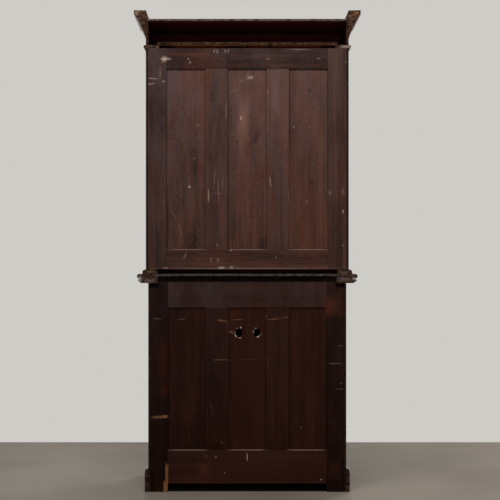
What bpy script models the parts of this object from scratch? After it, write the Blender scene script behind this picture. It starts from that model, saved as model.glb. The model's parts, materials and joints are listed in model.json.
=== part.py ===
"""A two-part bookcase: a glazed cabinet under a splayed cornice, standing on a deeper cupboard.

Metres, Z up. The origin is on the floor under the middle of the piece. The doors face -Y and
the panelled back faces +Y. Each part is its own object, and parts that turn or slide hang
from an empty that stands on their axis.
"""

import math
from collections import namedtuple

import bmesh
import bpy
from mathutils import Matrix, Vector

MM = 0.001

# Clearances that many pieces share
SEAM = 0.3 * MM
OVERRUN = 6 * MM

# The cupboard below
LOWER_WIDTH = 982 * MM
LOWER_SIDE_HEIGHT = 1035 * MM
LOWER_BACK_INSET = 10 * MM
LOWER_FLOOR_HEIGHT = 118 * MM

# The glazed cabinet above
UPPER_WIDTH = 1004 * MM
UPPER_DEPTH = 330 * MM
UPPER_SIDE_HEIGHT = 1093.2 * MM

# The frame between the two, whose depth sets the depth of the whole
WAIST_DEPTH = 500 * MM
WAIST_OVERHANG = 56 * MM
WAIST_HEIGHT = 45.5 * MM
WAIST_MEMBER_WIDTH = 104 * MM
WAIST_BOARD_THICKNESS = 11 * MM
WAIST_BOARD_SEAT = 10 * MM
WAIST_QUIRK_DEPTH = 10 * MM
WAIST_FOOT_SETBACK = 17 * MM
WAIST_TOP_SETBACK = 5 * MM

# The moulded frame that carries the glazed cabinet
BASE_HEIGHT = 23 * MM
BASE_MEMBER_WIDTH = 73 * MM
BASE_OVERHANG = 18 * MM
BASE_SQUARE_HEIGHT = 8 * MM

# Boards
SIDE_THICKNESS = 22 * MM
BOARD_THICKNESS = 18 * MM
SHELF_THICKNESS = 20 * MM
SHELF_SETBACK = 12 * MM
SHELF_HOUSING_DEPTH = 7 * MM
SHELF_EDGE_RADIUS = 2.5 * MM
UPPER_SHELF_SHARES = (0.25, 0.5, 0.75)
LOWER_SHELF_SHARES = (0.48,)

# Panelled backs
BACK_THICKNESS = 20 * MM
BACK_LIP = 10 * MM
BACK_PANEL_THICKNESS = 8 * MM
BACK_PANEL_RECESS = 6 * MM
PANEL_TONGUE = 8 * MM
UPPER_BACK_STILE = 91 * MM
UPPER_BACK_MUNTIN = 109 * MM
UPPER_BACK_TOP_RAIL = 102 * MM
UPPER_BACK_BOTTOM_RAIL = 99 * MM
LOWER_BACK_STILE = 87 * MM
LOWER_BACK_MUNTIN = 112 * MM
LOWER_BACK_TOP_RAIL = 155 * MM
LOWER_BACK_BOTTOM_RAIL = 167 * MM
LOWER_BACK_FOOT_GAP = 41.5 * MM

# The two rough holes for cables in the middle panel of the lower back
CABLE_HOLE_HEIGHT = 788 * MM
CABLE_HOLES = (
    ("left", -48 * MM, 34 * MM, 38 * MM),
    ("right", 41 * MM, 35 * MM, 45 * MM),
)
CABLE_HOLE_SIDES = 14

# Plinth
PLINTH_THICKNESS = 17.5 * MM
PLINTH_HEIGHT = 116 * MM
PLINTH_MOULD_HEIGHT = 22 * MM
PLINTH_TOP_WIDTH = 4 * MM

# Cornice
NECKING_HEIGHT = 16 * MM
NECKING_MEMBER_WIDTH = 77 * MM
NECKING_OVERHANG = 12 * MM
NECKING_DROP = 8 * MM
NECKING_DROP_WIDTH = 3 * MM
CORNICE_BOARD_THICKNESS = 14 * MM
CORNICE_BOARD_SEAT = 10 * MM
FRIEZE_THICKNESS = 11 * MM
FRIEZE_HEIGHT = 118.4 * MM
FRIEZE_SHOWN = 35 * MM
TOP_BOARD_THICKNESS = 11 * MM
TOP_BOARD_SEAT = 6 * MM
CROWN_HEIGHT = 138 * MM
CROWN_OVERHANG = 60 * MM
CROWN_FILLET_HEIGHT = 21 * MM
CROWN_FILLET_STEP = 4 * MM
CROWN_FOOT_WIDTH = 1.5 * MM
CROWN_HOOK = 7.6 * MM
CROWN_BEND = 1.18

# Doors
DOOR_THICKNESS = 22 * MM
DOOR_END_GAP = 1.8 * MM
DOOR_SIDE_GAP = 1.2 * MM
DOOR_MEETING_GAP = 2 * MM
UPPER_DOOR_STILE = 58 * MM
UPPER_DOOR_TOP_RAIL = 66 * MM
UPPER_DOOR_BOTTOM_RAIL = 84 * MM
LOWER_DOOR_STILE = 74 * MM
LOWER_DOOR_TOP_RAIL = 78 * MM
LOWER_DOOR_BOTTOM_RAIL = 96 * MM
SIGHT_CHAMFER = 5 * MM

# Glazing
GLASS_LIP = 9 * MM
GLASS_REBATE = 9 * MM
GLASS_THICKNESS = 3 * MM
BEAD_WIDTH = 8 * MM

# Raised panels of the lower doors
DOOR_PANEL_THICKNESS = 8 * MM
DOOR_PANEL_MARGIN = 12 * MM
DOOR_PANEL_BEVEL = 30 * MM
DOOR_PANEL_RISE = 5 * MM

# Butt hinges
HINGE_HEIGHT = 64 * MM
HINGE_LEAF_DEPTH = 17 * MM
HINGE_LEAF_THICKNESS = 2 * MM
HINGE_KNUCKLE_RADIUS = 4 * MM
HINGE_KNUCKLE_GAP = 0.5 * MM
HINGE_KNUCKLE_PROUD = 0.6 * MM
HINGE_NOTCH_CLEARANCE = 0.6 * MM
HINGE_PIN_RADIUS = 1.6 * MM
HINGE_PIN_PROUD = 1.2 * MM
HINGE_BORE_RADIUS = 2.1 * MM
HINGE_SETBACK = 130 * MM
ROUND_SIDES = 16

# Locks, keys and escutcheons
LOCK_BACKSET = 29 * MM
UPPER_LOCK_SHARE = 0.42
LOWER_LOCK_SHARE = 0.62
BOLT_LENGTH = 36 * MM
BOLT_HEIGHT = 12 * MM
BOLT_THICKNESS = 6 * MM
BOLT_INSET = 0.5 * MM
BOLT_ABOVE_KEY = 8 * MM
BOLT_POCKET_DEPTH = 7 * MM
KEY_SHAFT_RADIUS = 2.5 * MM
KEY_CLEARANCE = 0.7 * MM
KEY_BIT_REACH = 5.5 * MM
KEY_BIT_WIDTH = 5 * MM
KEY_BIT_THICKNESS = 2.2 * MM
KEY_STAND_OFF = 15 * MM
KEY_COLLAR_RADIUS = 3.9 * MM
KEY_COLLAR_LENGTH = 3 * MM
KEY_BOW_RADIUS = 9 * MM
KEY_BOW_WIRE = 2 * MM
KEYHOLE_SLOT_WIDTH = 3.2 * MM
ESCUTCHEON_WIDTH = 19 * MM
ESCUTCHEON_HEIGHT = 34 * MM
ESCUTCHEON_THICKNESS = 1.4 * MM
ESCUTCHEON_SIDES = 24

CURVE_STEPS = 4

# A cabinet is the room that its boards fill. Every field is a place in the world.
Cabinet = namedtuple("Cabinet", "name half_width front back foot head floor ceiling")

# Planes that follow from the sizes
BACK_PLANE = WAIST_DEPTH / 2
LOWER_HALF = LOWER_WIDTH / 2
UPPER_HALF = UPPER_WIDTH / 2
WAIST_FOOT = LOWER_SIDE_HEIGHT + SEAM
WAIST_TOP = WAIST_FOOT + WAIST_HEIGHT
WAIST_BOARD_FOOT = WAIST_TOP - WAIST_BOARD_THICKNESS
BASE_FOOT = WAIST_TOP + SEAM
BASE_TOP = BASE_FOOT + BASE_HEIGHT
UPPER_FOOT = BASE_TOP + SEAM
UPPER_HEAD = UPPER_FOOT + UPPER_SIDE_HEIGHT
NECKING_FOOT = UPPER_HEAD + SEAM
NECKING_TOP = NECKING_FOOT + NECKING_HEIGHT
FRIEZE_FOOT = NECKING_TOP + SEAM
FRIEZE_TOP = FRIEZE_FOOT + FRIEZE_HEIGHT
TOP_BOARD_FOOT = FRIEZE_TOP + SEAM
TOP_BOARD_TOP = TOP_BOARD_FOOT + TOP_BOARD_THICKNESS
CROWN_FOOT = NECKING_TOP + FRIEZE_SHOWN
CROWN_TOP = CROWN_FOOT + CROWN_HEIGHT

LOWER = Cabinet(
    "lower",
    LOWER_HALF,
    -BACK_PLANE + WAIST_OVERHANG,
    BACK_PLANE - LOWER_BACK_INSET,
    0,
    LOWER_SIDE_HEIGHT,
    LOWER_FLOOR_HEIGHT,
    LOWER_SIDE_HEIGHT,
)
UPPER = Cabinet(
    "upper",
    UPPER_HALF,
    BACK_PLANE - UPPER_DEPTH,
    BACK_PLANE,
    UPPER_FOOT,
    UPPER_HEAD,
    UPPER_FOOT + BOARD_THICKNESS,
    UPPER_HEAD - BOARD_THICKNESS,
)


# Setting the scene and its materials


def clear_scene():
    for old in list(bpy.data.objects):
        bpy.data.objects.remove(old, do_unlink=True)


def new_collection(name):
    group = bpy.data.collections.new(name)
    bpy.context.scene.collection.children.link(group)
    return group


def new_material(name, colour, roughness, metallic=0.0, alpha=1.0):
    material = bpy.data.materials.new(name)
    material.use_nodes = True
    shader = material.node_tree.nodes["Principled BSDF"]
    shader.inputs["Base Color"].default_value = (*colour, 1.0)
    shader.inputs["Roughness"].default_value = roughness
    shader.inputs["Metallic"].default_value = metallic
    shader.inputs["Alpha"].default_value = alpha
    material.diffuse_color = (*colour, alpha)
    return material


clear_scene()
PARTS = new_collection("glazed_bookcase")
CUTTERS = new_collection("cutters")

STAINED_BACK = new_material("stained back", (0.045, 0.024, 0.020), 0.72)
POLISHED_WOOD = new_material("polished wood", (0.120, 0.036, 0.018), 0.32)
RAW_PINE = new_material("raw pine board", (0.150, 0.072, 0.036), 0.80)
GLASS = new_material("window glass", (0.80, 0.86, 0.84), 0.03, 0.0, 0.35)
BRASS = new_material("aged brass", (0.52, 0.36, 0.13), 0.34, 1.0)
STEEL = new_material("lock steel", (0.30, 0.29, 0.28), 0.42, 1.0)


# Primitive shapes, added to a bmesh at their place in the world


def add_box(bm, corner, opposite):
    """A block between two opposite corners, given in any order."""
    corner, opposite = Vector(corner), Vector(opposite)
    middle = (corner + opposite) / 2
    size = opposite - corner
    stretch = Matrix.Diagonal((abs(size.x), abs(size.y), abs(size.z), 1.0))
    bmesh.ops.create_cube(bm, size=1.0, matrix=Matrix.Translation(middle) @ stretch)


def add_cylinder(bm, start, end, radius, sides=ROUND_SIDES):
    """A capped cylinder from one point to another."""
    start, end = Vector(start), Vector(end)
    along = end - start
    turn = along.to_track_quat("Z", "Y").to_matrix().to_4x4()
    bmesh.ops.create_cone(
        bm,
        cap_ends=True,
        segments=sides,
        radius1=radius,
        radius2=radius,
        depth=along.length,
        matrix=Matrix.Translation((start + end) / 2) @ turn,
    )


def block(*corners):
    """A fresh bmesh of blocks, each given by two opposite corners."""
    bm = bmesh.new()
    for corner, opposite in corners:
        add_box(bm, corner, opposite)
    return bm


def rod(start, end, radius, sides=ROUND_SIDES):
    bm = bmesh.new()
    add_cylinder(bm, start, end, radius, sides)
    return bm


# Turning a bmesh into an object, and cutting or joining it


def place(name, bm, group, carrier):
    if carrier is not None:
        bmesh.ops.translate(bm, verts=bm.verts, vec=-carrier["pivot"])
    mesh = bpy.data.meshes.new(name)
    bm.to_mesh(mesh)
    bm.free()
    obj = bpy.data.objects.new(name, mesh)
    group.objects.link(obj)
    if carrier is not None:
        obj.parent = carrier["empty"]
    return obj


def make_part(name, bm, material, carrier=None):
    part = place(name, bm, PARTS, carrier)
    part.data.materials.append(material)
    return part


def shape_with(part, label, bm, operation, carrier=None):
    """Cut a part with, or join it to, a helper that stays hidden in the cutters' collection."""
    helper = place(f"{part.name}_{label}", bm, CUTTERS, carrier)
    helper.hide_render = True
    helper.display_type = "WIRE"
    step = part.modifiers.new(label, "BOOLEAN")
    step.operation = operation
    step.object = helper


def cut(part, label, bm, carrier=None):
    shape_with(part, label, bm, "DIFFERENCE", carrier)


def join(part, label, bm, carrier=None):
    shape_with(part, label, bm, "UNION", carrier)


def round_off(part, radius, segments=2):
    step = part.modifiers.new("rounded edges", "BEVEL")
    step.width = radius
    step.segments = segments
    step.limit_method = "ANGLE"


def shade_round(part):
    part.data.shade_smooth()
    part.data.set_sharp_from_angle(angle=math.radians(35))


def make_pivot(name, pivot, above=None):
    """An empty on a joint's axis. It stands under the carrier that it moves with."""
    empty = bpy.data.objects.new(name, None)
    empty.location = pivot if above is None else pivot - above["pivot"]
    PARTS.objects.link(empty)
    if above is not None:
        empty.parent = above["empty"]
    return {"empty": empty, "pivot": pivot.copy()}


# Mouldings that run round the two sides and the front of a cabinet


def arc(middle, radii, start, stop, steps=CURVE_STEPS):
    """Points of a round stretch of a profile, from one angle in degrees to another."""
    points = []
    for step in range(steps + 1):
        angle = math.radians(start + (stop - start) * step / steps)
        points.append((middle[0] + radii[0] * math.cos(angle), middle[1] + radii[1] * math.sin(angle)))
    return points


def mitred(half_width, station, point):
    """Where a profile's point lies at one of the four stations of a mitred run."""
    side, mitre, y = station
    out, z = point
    return Vector((side * (half_width + out), y - mitre * out, z))


def run_round(half_width, front, back, profile):
    """Carry a profile of (outward, height) points along a side, the front and the other side."""
    stations = ((-1, 0, back), (-1, 1, front), (1, 1, front), (1, 0, back))
    bm = bmesh.new()
    face = bm.faces.new([bm.verts.new(mitred(half_width, stations[0], point)) for point in profile])
    for before, station in zip(stations, stations[1:]):
        grown = bmesh.ops.extrude_face_region(bm, geom=[face])["geom"]
        if before is not stations[0]:
            bmesh.ops.delete(bm, geom=[face], context="FACES_ONLY")
        face = next(piece for piece in grown if isinstance(piece, bmesh.types.BMFace))
        for vert in face.verts:
            point = min(profile, key=lambda spot: (mitred(half_width, before, spot) - vert.co).length)
            vert.co = mitred(half_width, station, point)
    bmesh.ops.recalc_face_normals(bm, faces=bm.faces)
    return bm


# Boards of the two cabinets


def interior_back(cabinet):
    return cabinet.back - BACK_THICKNESS


def inner_half(cabinet):
    return cabinet.half_width - SIDE_THICKNESS


def shelf_feet(cabinet, shares):
    """Heights of the undersides of the shelves."""
    clear = cabinet.ceiling - cabinet.floor - SHELF_THICKNESS
    return [cabinet.floor + share * clear for share in shares]


def shelf_front(cabinet):
    return cabinet.front + DOOR_THICKNESS + SHELF_SETBACK


def back_rebate(cabinet, side):
    edge = side * (cabinet.half_width - BACK_LIP)
    return (
        (side * (inner_half(cabinet) - OVERRUN), interior_back(cabinet) - SEAM, cabinet.foot - OVERRUN),
        (edge, cabinet.back + OVERRUN, cabinet.head + OVERRUN),
    )


def shelf_housings(cabinet, side, shares):
    face = inner_half(cabinet)
    return [
        (
            (side * (face - OVERRUN), shelf_front(cabinet) - SEAM, foot - SEAM),
            (side * (face + SHELF_HOUSING_DEPTH), interior_back(cabinet), foot + SHELF_THICKNESS + SEAM),
        )
        for foot in shelf_feet(cabinet, shares)
    ]


def make_side(cabinet, hand, side, shares, hinge_heights):
    """One side board, with its rebate for the back, its shelf housings and its hinge beds."""
    body = block(
        (
            (side * inner_half(cabinet), cabinet.front, cabinet.foot),
            (side * cabinet.half_width, cabinet.back, cabinet.head),
        )
    )
    part = make_part(f"{cabinet.name}_{hand}_side", body, POLISHED_WOOD)
    cut(part, "back_rebate", block(back_rebate(cabinet, side)))
    cut(part, "shelf_housings", block(*shelf_housings(cabinet, side, shares)))
    cut(part, "hinge_beds", block(*[fixed_leaf_bed(cabinet, side, height) for height in hinge_heights]))


def make_cross_board(cabinet, name, foot, front_edge, material):
    """A board between the sides, from the given front edge to the back frame."""
    reach = inner_half(cabinet) - SEAM
    body = block(
        ((-reach, front_edge, foot), (reach, interior_back(cabinet) - SEAM, foot + BOARD_THICKNESS))
    )
    make_part(name, body, material)


def make_shelf(cabinet, name, foot):
    reach = inner_half(cabinet) + SHELF_HOUSING_DEPTH - SEAM
    body = block(
        (
            (-reach, shelf_front(cabinet), foot),
            (reach, interior_back(cabinet) - SEAM, foot + SHELF_THICKNESS),
        )
    )
    round_off(make_part(name, body, POLISHED_WOOD), SHELF_EDGE_RADIUS)


# Panelled backs

# A back's layout: the edges of its frame, the widths of its members and the planes it fills
Back = namedtuple("Back", "cabinet reach foot head stile muntin top_rail bottom_rail foot_gap")


def panel_spans(back):
    """The three openings from left to right, as pairs of X places."""
    inside = back.reach - back.stile
    middle = (2 * inside - 2 * back.muntin) / 3 / 2
    return (
        (-inside, -middle - back.muntin),
        (-middle, middle),
        (middle + back.muntin, inside),
    )


def panel_heights(back):
    return back.foot + back.foot_gap + back.bottom_rail, back.head - back.top_rail


def panel_depths(back):
    rear = back.cabinet.back - BACK_PANEL_RECESS
    return rear - BACK_PANEL_THICKNESS, rear


def opening_blocks(back):
    low, high = panel_heights(back)
    near, far = interior_back(back.cabinet) - OVERRUN, back.cabinet.back + OVERRUN
    return [((left, near, low), (right, far, high)) for left, right in panel_spans(back)]


def groove_blocks(back):
    low, high = panel_heights(back)
    near, far = panel_depths(back)
    reach = PANEL_TONGUE + SEAM
    return [
        ((left - reach, near - SEAM, low - reach), (right + reach, far + SEAM, high + reach))
        for left, right in panel_spans(back)
    ]


def make_back_frame(back):
    """Stiles, rails and muntins glued up as one frame, grooved for its panels."""
    near, far = interior_back(back.cabinet), back.cabinet.back
    body = block(((-back.reach, near, back.foot), (back.reach, far, back.head)))
    part = make_part(f"{back.cabinet.name}_back_frame", body, STAINED_BACK)
    cut(part, "panel_openings", block(*opening_blocks(back)))
    cut(part, "panel_grooves", block(*groove_blocks(back)))
    return part


def make_back_panels(back):
    low, high = panel_heights(back)
    near, far = panel_depths(back)
    panels = {}
    for place_name, (left, right) in zip(("left", "middle", "right"), panel_spans(back)):
        body = block(
            (
                (left - PANEL_TONGUE, near, low - PANEL_TONGUE),
                (right + PANEL_TONGUE, far, high + PANEL_TONGUE),
            )
        )
        name = f"{back.cabinet.name}_back_{place_name}_panel"
        panels[place_name] = make_part(name, body, STAINED_BACK)
    return panels


def cut_foot_gap(part, back):
    """Below its bottom rail the lower back is open, and only its stiles reach the floor."""
    inside = back.reach - back.stile
    near, far = interior_back(back.cabinet) - OVERRUN, back.cabinet.back + OVERRUN
    cut(part, "foot_gap", block(((-inside, near, -OVERRUN), (inside, far, back.foot + back.foot_gap))))


def cut_waist_shoulders(part, back):
    """The side members of the waist frame lie on the stiles, and the top rail rises between them."""
    inside = waist_inner_half() - SEAM
    near, far = interior_back(back.cabinet) - OVERRUN, back.cabinet.back + OVERRUN
    shoulders = [
        ((side * inside, near, LOWER_SIDE_HEIGHT), (side * (back.reach + OVERRUN), far, back.head + OVERRUN))
        for side in (-1, 1)
    ]
    cut(part, "waist_shoulders", block(*shoulders))


def cut_cable_holes(panel, back):
    near, far = back.cabinet.back - BACK_THICKNESS, back.cabinet.back + OVERRUN
    for label, middle, width, height in CABLE_HOLES:
        bm = rod((0, near, 0), (0, far, 0), 1.0, CABLE_HOLE_SIDES)
        shape = Matrix.Diagonal((width / 2, 1.0, height / 2, 1.0))
        bmesh.ops.transform(
            bm,
            matrix=Matrix.Translation((middle, 0, CABLE_HOLE_HEIGHT)) @ shape,
            verts=bm.verts,
        )
        cut(panel, f"{label}_cable_hole", bm)


def make_upper_back():
    back = Back(
        UPPER,
        UPPER_HALF - BACK_LIP - SEAM,
        UPPER_FOOT,
        UPPER_HEAD,
        UPPER_BACK_STILE,
        UPPER_BACK_MUNTIN,
        UPPER_BACK_TOP_RAIL,
        UPPER_BACK_BOTTOM_RAIL,
        0,
    )
    make_back_frame(back)
    make_back_panels(back)


def make_lower_back():
    back = Back(
        LOWER,
        LOWER_HALF - BACK_LIP - SEAM,
        0,
        WAIST_BOARD_FOOT - SEAM,
        LOWER_BACK_STILE,
        LOWER_BACK_MUNTIN,
        LOWER_BACK_TOP_RAIL,
        LOWER_BACK_BOTTOM_RAIL,
        LOWER_BACK_FOOT_GAP,
    )
    frame = make_back_frame(back)
    cut_foot_gap(frame, back)
    cut_waist_shoulders(frame, back)
    cut_cable_holes(make_back_panels(back)["middle"], back)


# Plinth, waist and cornice


def make_plinth():
    """A U of board with an ovolo along its top edge, standing on the floor round the cupboard."""
    shoulder = PLINTH_HEIGHT - PLINTH_MOULD_HEIGHT
    curve = PLINTH_THICKNESS - PLINTH_TOP_WIDTH
    profile = [(SEAM, 0), (PLINTH_THICKNESS, 0)]
    profile += arc((PLINTH_TOP_WIDTH, shoulder), (curve, PLINTH_MOULD_HEIGHT), 0, 90)
    profile += [(SEAM, PLINTH_HEIGHT)]
    bm = run_round(LOWER_HALF, LOWER.front, LOWER.back, profile)
    make_part("plinth", bm, POLISHED_WOOD)


def waist_inner_half():
    return LOWER_HALF + WAIST_OVERHANG - WAIST_MEMBER_WIDTH


def waist_edge_profile():
    """The waist's outer edge from the foot up: a small round, a quirk and a larger thumb."""
    quirk = WAIST_FOOT + WAIST_HEIGHT / 2
    lobe_foot = WAIST_FOOT + (quirk - WAIST_FOOT) / 4
    lobe_middle = (lobe_foot + quirk) / 2
    thumb_middle = (quirk + WAIST_TOP) / 2
    lobe_reach = WAIST_FOOT_SETBACK - WAIST_TOP_SETBACK
    points = [(WAIST_OVERHANG - WAIST_FOOT_SETBACK, WAIST_FOOT)]
    points += arc(
        (WAIST_OVERHANG - WAIST_FOOT_SETBACK, lobe_middle),
        (lobe_reach, quirk - lobe_middle),
        -90,
        75,
    )
    points += [(WAIST_OVERHANG - WAIST_QUIRK_DEPTH, quirk)]
    points += arc(
        (WAIST_OVERHANG - WAIST_QUIRK_DEPTH, thumb_middle),
        (WAIST_QUIRK_DEPTH, WAIST_TOP - thumb_middle),
        -60,
        60,
    )
    return points


def make_waist():
    """The frame on the cupboard, open at the back, and the dust board let into its inner edge."""
    inner = WAIST_OVERHANG - WAIST_MEMBER_WIDTH
    seat = inner + WAIST_BOARD_SEAT
    ledge = WAIST_BOARD_FOOT - SEAM
    profile = [(inner, WAIST_FOOT)]
    profile += waist_edge_profile()
    profile += [(WAIST_OVERHANG - WAIST_TOP_SETBACK, WAIST_TOP), (seat, WAIST_TOP), (seat, ledge), (inner, ledge)]
    bm = run_round(LOWER_HALF, LOWER.front, BACK_PLANE, profile)
    make_part("waist_frame", bm, POLISHED_WOOD)
    reach = LOWER_HALF + seat - SEAM
    board = block(
        ((-reach, LOWER.front - seat + SEAM, WAIST_BOARD_FOOT), (reach, BACK_PLANE, WAIST_TOP))
    )
    make_part("waist_dust_board", board, RAW_PINE)


def make_base_frame():
    """The frame under the glazed cabinet: square below, rounded above, open at the back."""
    inner = BASE_OVERHANG - BASE_MEMBER_WIDTH
    shoulder = BASE_FOOT + BASE_SQUARE_HEIGHT
    profile = [(inner, BASE_FOOT), (BASE_OVERHANG, BASE_FOOT)]
    profile += arc((0, shoulder), (BASE_OVERHANG, BASE_TOP - shoulder), 0, 90)
    profile += [(inner, BASE_TOP)]
    bm = run_round(UPPER_HALF, UPPER.front, BACK_PLANE, profile)
    make_part("upper_base_frame", bm, POLISHED_WOOD)


def make_necking():
    """The frame on the glazed cabinet, with a hollow below its nose that covers the joint."""
    inner = NECKING_OVERHANG - NECKING_MEMBER_WIDTH
    hollow = NECKING_OVERHANG - NECKING_DROP_WIDTH
    nose = NECKING_HEIGHT / 2
    profile = [(inner, NECKING_FOOT), (SEAM, NECKING_FOOT), (SEAM, NECKING_FOOT - NECKING_DROP)]
    profile += arc(
        (NECKING_OVERHANG, NECKING_FOOT - NECKING_DROP), (-hollow, NECKING_DROP), 0, 75
    )
    profile += arc((NECKING_OVERHANG - nose, NECKING_FOOT + nose), (nose, nose), -75, 90)
    profile += [(inner, NECKING_TOP)]
    bm = run_round(UPPER_HALF, UPPER.front, BACK_PLANE, profile)
    make_part("necking_frame", bm, POLISHED_WOOD)


def make_cornice_boards():
    """The board that closes the cornice from below, and the thin one that closes it above."""
    seat = NECKING_OVERHANG - NECKING_MEMBER_WIDTH + CORNICE_BOARD_SEAT
    reach = UPPER_HALF + seat
    lower = block(
        (
            (-reach, UPPER.front - seat, FRIEZE_FOOT),
            (reach, BACK_PLANE, FRIEZE_FOOT + CORNICE_BOARD_THICKNESS),
        )
    )
    make_part("cornice_dust_board", lower, RAW_PINE)
    seat = TOP_BOARD_SEAT - FRIEZE_THICKNESS
    reach = UPPER_HALF + seat
    upper = block(
        ((-reach, UPPER.front - seat, TOP_BOARD_FOOT), (reach, BACK_PLANE, TOP_BOARD_TOP))
    )
    make_part("cornice_top_board", upper, RAW_PINE)


def make_frieze():
    profile = [
        (-FRIEZE_THICKNESS, FRIEZE_FOOT),
        (0, FRIEZE_FOOT),
        (0, FRIEZE_TOP),
        (-FRIEZE_THICKNESS, FRIEZE_TOP),
    ]
    bm = run_round(UPPER_HALF, UPPER.front, BACK_PLANE, profile)
    make_part("cornice_frieze", bm, STAINED_BACK)


def crown_splay():
    """The hollowed slope of the crown, from under its fillet down to its foot."""
    head = CROWN_TOP - CROWN_FILLET_HEIGHT
    widest = CROWN_OVERHANG - CROWN_FILLET_STEP
    points = []
    for step in range(CURVE_STEPS + 1):
        rise = 1 - step / CURVE_STEPS
        out = CROWN_FOOT_WIDTH + (widest - CROWN_FOOT_WIDTH) * rise**CROWN_BEND
        points.append((out, CROWN_FOOT + (head - CROWN_FOOT) * rise))
    return points


def make_crown():
    """The splayed moulding planted on the frieze. It hooks over the thin top board."""
    hook = TOP_BOARD_TOP + SEAM
    profile = [
        (0, CROWN_TOP),
        (CROWN_OVERHANG, CROWN_TOP),
        (CROWN_OVERHANG, CROWN_TOP - CROWN_FILLET_HEIGHT),
    ]
    profile += crown_splay()
    profile += [(SEAM, CROWN_FOOT), (SEAM, hook), (-CROWN_HOOK, hook)]
    bm = run_round(UPPER_HALF, UPPER.front, BACK_PLANE, profile)
    make_part("crown_moulding", bm, POLISHED_WOOD)


# Doors. Places on a door are measured across from its hinge axis and back from that axis.

Door = namedtuple("Door", "name side cabinet axis width foot head stile top_rail bottom_rail carrier")


def hinge_axis(cabinet, side):
    """The pin stands just in front of the seam between the side and the door."""
    seam_x = inner_half(cabinet) - DOOR_SIDE_GAP / 2
    return Vector((side * seam_x, cabinet.front - HINGE_KNUCKLE_RADIUS - SEAM, cabinet.floor))


def hinge_heights(foot, head):
    return foot + HINGE_SETBACK, head - HINGE_SETBACK


def on_door(door, across, behind, height):
    return Vector((door.axis.x - door.side * across, door.axis.y + behind, height))


def face_depth():
    """How far a door's face lies behind its hinge axis."""
    return HINGE_KNUCKLE_RADIUS + SEAM


def fixed_leaf_bed(cabinet, side, height):
    """The shallow bed for a hinge leaf in the inner face of a side."""
    axis = hinge_axis(cabinet, side)
    half = HINGE_HEIGHT / 2 + SEAM
    deep = DOOR_SIDE_GAP / 2 + HINGE_LEAF_THICKNESS + SEAM
    return (
        (axis.x - side * OVERRUN, axis.y, height - half),
        (axis.x + side * deep, axis.y + face_depth() + HINGE_LEAF_DEPTH, height + half),
    )


def leaf_plate(door, sign, height):
    """A hinge leaf's flat plate, on the door's side of the seam (1) or the cabinet's (-1)."""
    near = sign * DOOR_SIDE_GAP / 2
    far = sign * (DOOR_SIDE_GAP / 2 + HINGE_LEAF_THICKNESS)
    behind = face_depth() + HINGE_LEAF_DEPTH - SEAM
    half = HINGE_HEIGHT / 2
    return (
        on_door(door, near, 0, height - half),
        on_door(door, far, behind, height + half),
    )


def knuckle_span(height, index):
    """The lower and upper end of one of the three knuckles, counted from below."""
    whole = HINGE_HEIGHT + 2 * HINGE_KNUCKLE_PROUD
    length = (whole - 2 * HINGE_KNUCKLE_GAP) / 3
    foot = height - whole / 2 + index * (length + HINGE_KNUCKLE_GAP)
    return foot, foot + length


def leaf_notch(door, height, index):
    """Room in a leaf's front edge for a knuckle of the other leaf."""
    foot, head = knuckle_span(height, index)
    foot -= HINGE_KNUCKLE_GAP
    head += HINGE_KNUCKLE_GAP
    reach = DOOR_SIDE_GAP + HINGE_LEAF_THICKNESS
    return (
        on_door(door, -reach, -OVERRUN, foot),
        on_door(door, reach, HINGE_KNUCKLE_RADIUS + HINGE_NOTCH_CLEARANCE, head),
    )


def knuckles(door, height, indices):
    bm = bmesh.new()
    for index in indices:
        foot, head = knuckle_span(height, index)
        add_cylinder(bm, on_door(door, 0, 0, foot), on_door(door, 0, 0, head), HINGE_KNUCKLE_RADIUS)
    return bm


def upright_rod(door, height, reach, radius):
    return rod(on_door(door, 0, 0, height - reach), on_door(door, 0, 0, height + reach), radius)


def make_hinge(door, label, height):
    """A butt hinge: the fixed leaf carries the pin, and the door's leaf turns on it."""
    name = f"{door.name}_{label}_hinge"
    pin_reach = HINGE_HEIGHT / 2 + HINGE_KNUCKLE_PROUD + HINGE_PIN_PROUD
    fixed = make_part(f"{name}_fixed_leaf", block(leaf_plate(door, -1, height)), BRASS)
    cut(fixed, "notch", block(leaf_notch(door, height, 1)))
    join(fixed, "knuckles", knuckles(door, height, (0, 2)))
    join(fixed, "pin", upright_rod(door, height, pin_reach, HINGE_PIN_RADIUS))
    plate = block(leaf_plate(door, 1, height))
    moving = make_part(f"{name}_door_leaf", plate, BRASS, door.carrier)
    notches = block(leaf_notch(door, height, 0), leaf_notch(door, height, 2))
    cut(moving, "notches", notches, door.carrier)
    join(moving, "knuckle", knuckles(door, height, (1,)), door.carrier)
    bore = upright_rod(door, height, pin_reach, HINGE_BORE_RADIUS)
    cut(moving, "bore", bore, door.carrier)
    shade_round(fixed)
    shade_round(moving)


def door_leaf_bed(door, height):
    half = HINGE_HEIGHT / 2 + SEAM
    return (
        on_door(door, -OVERRUN, 0, height - half),
        on_door(
            door,
            DOOR_SIDE_GAP / 2 + HINGE_LEAF_THICKNESS + SEAM,
            face_depth() + HINGE_LEAF_DEPTH,
            height + half,
        ),
    )


def sight_opening(door, near, far, grow=0):
    """A block through a door's opening, between two depths behind its face."""
    left = DOOR_SIDE_GAP / 2 + door.stile - grow
    right = door.width - door.stile + grow
    return (
        on_door(door, left, face_depth() + near, door.foot + door.bottom_rail - grow),
        on_door(door, right, face_depth() + far, door.head - door.top_rail + grow),
    )


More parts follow.
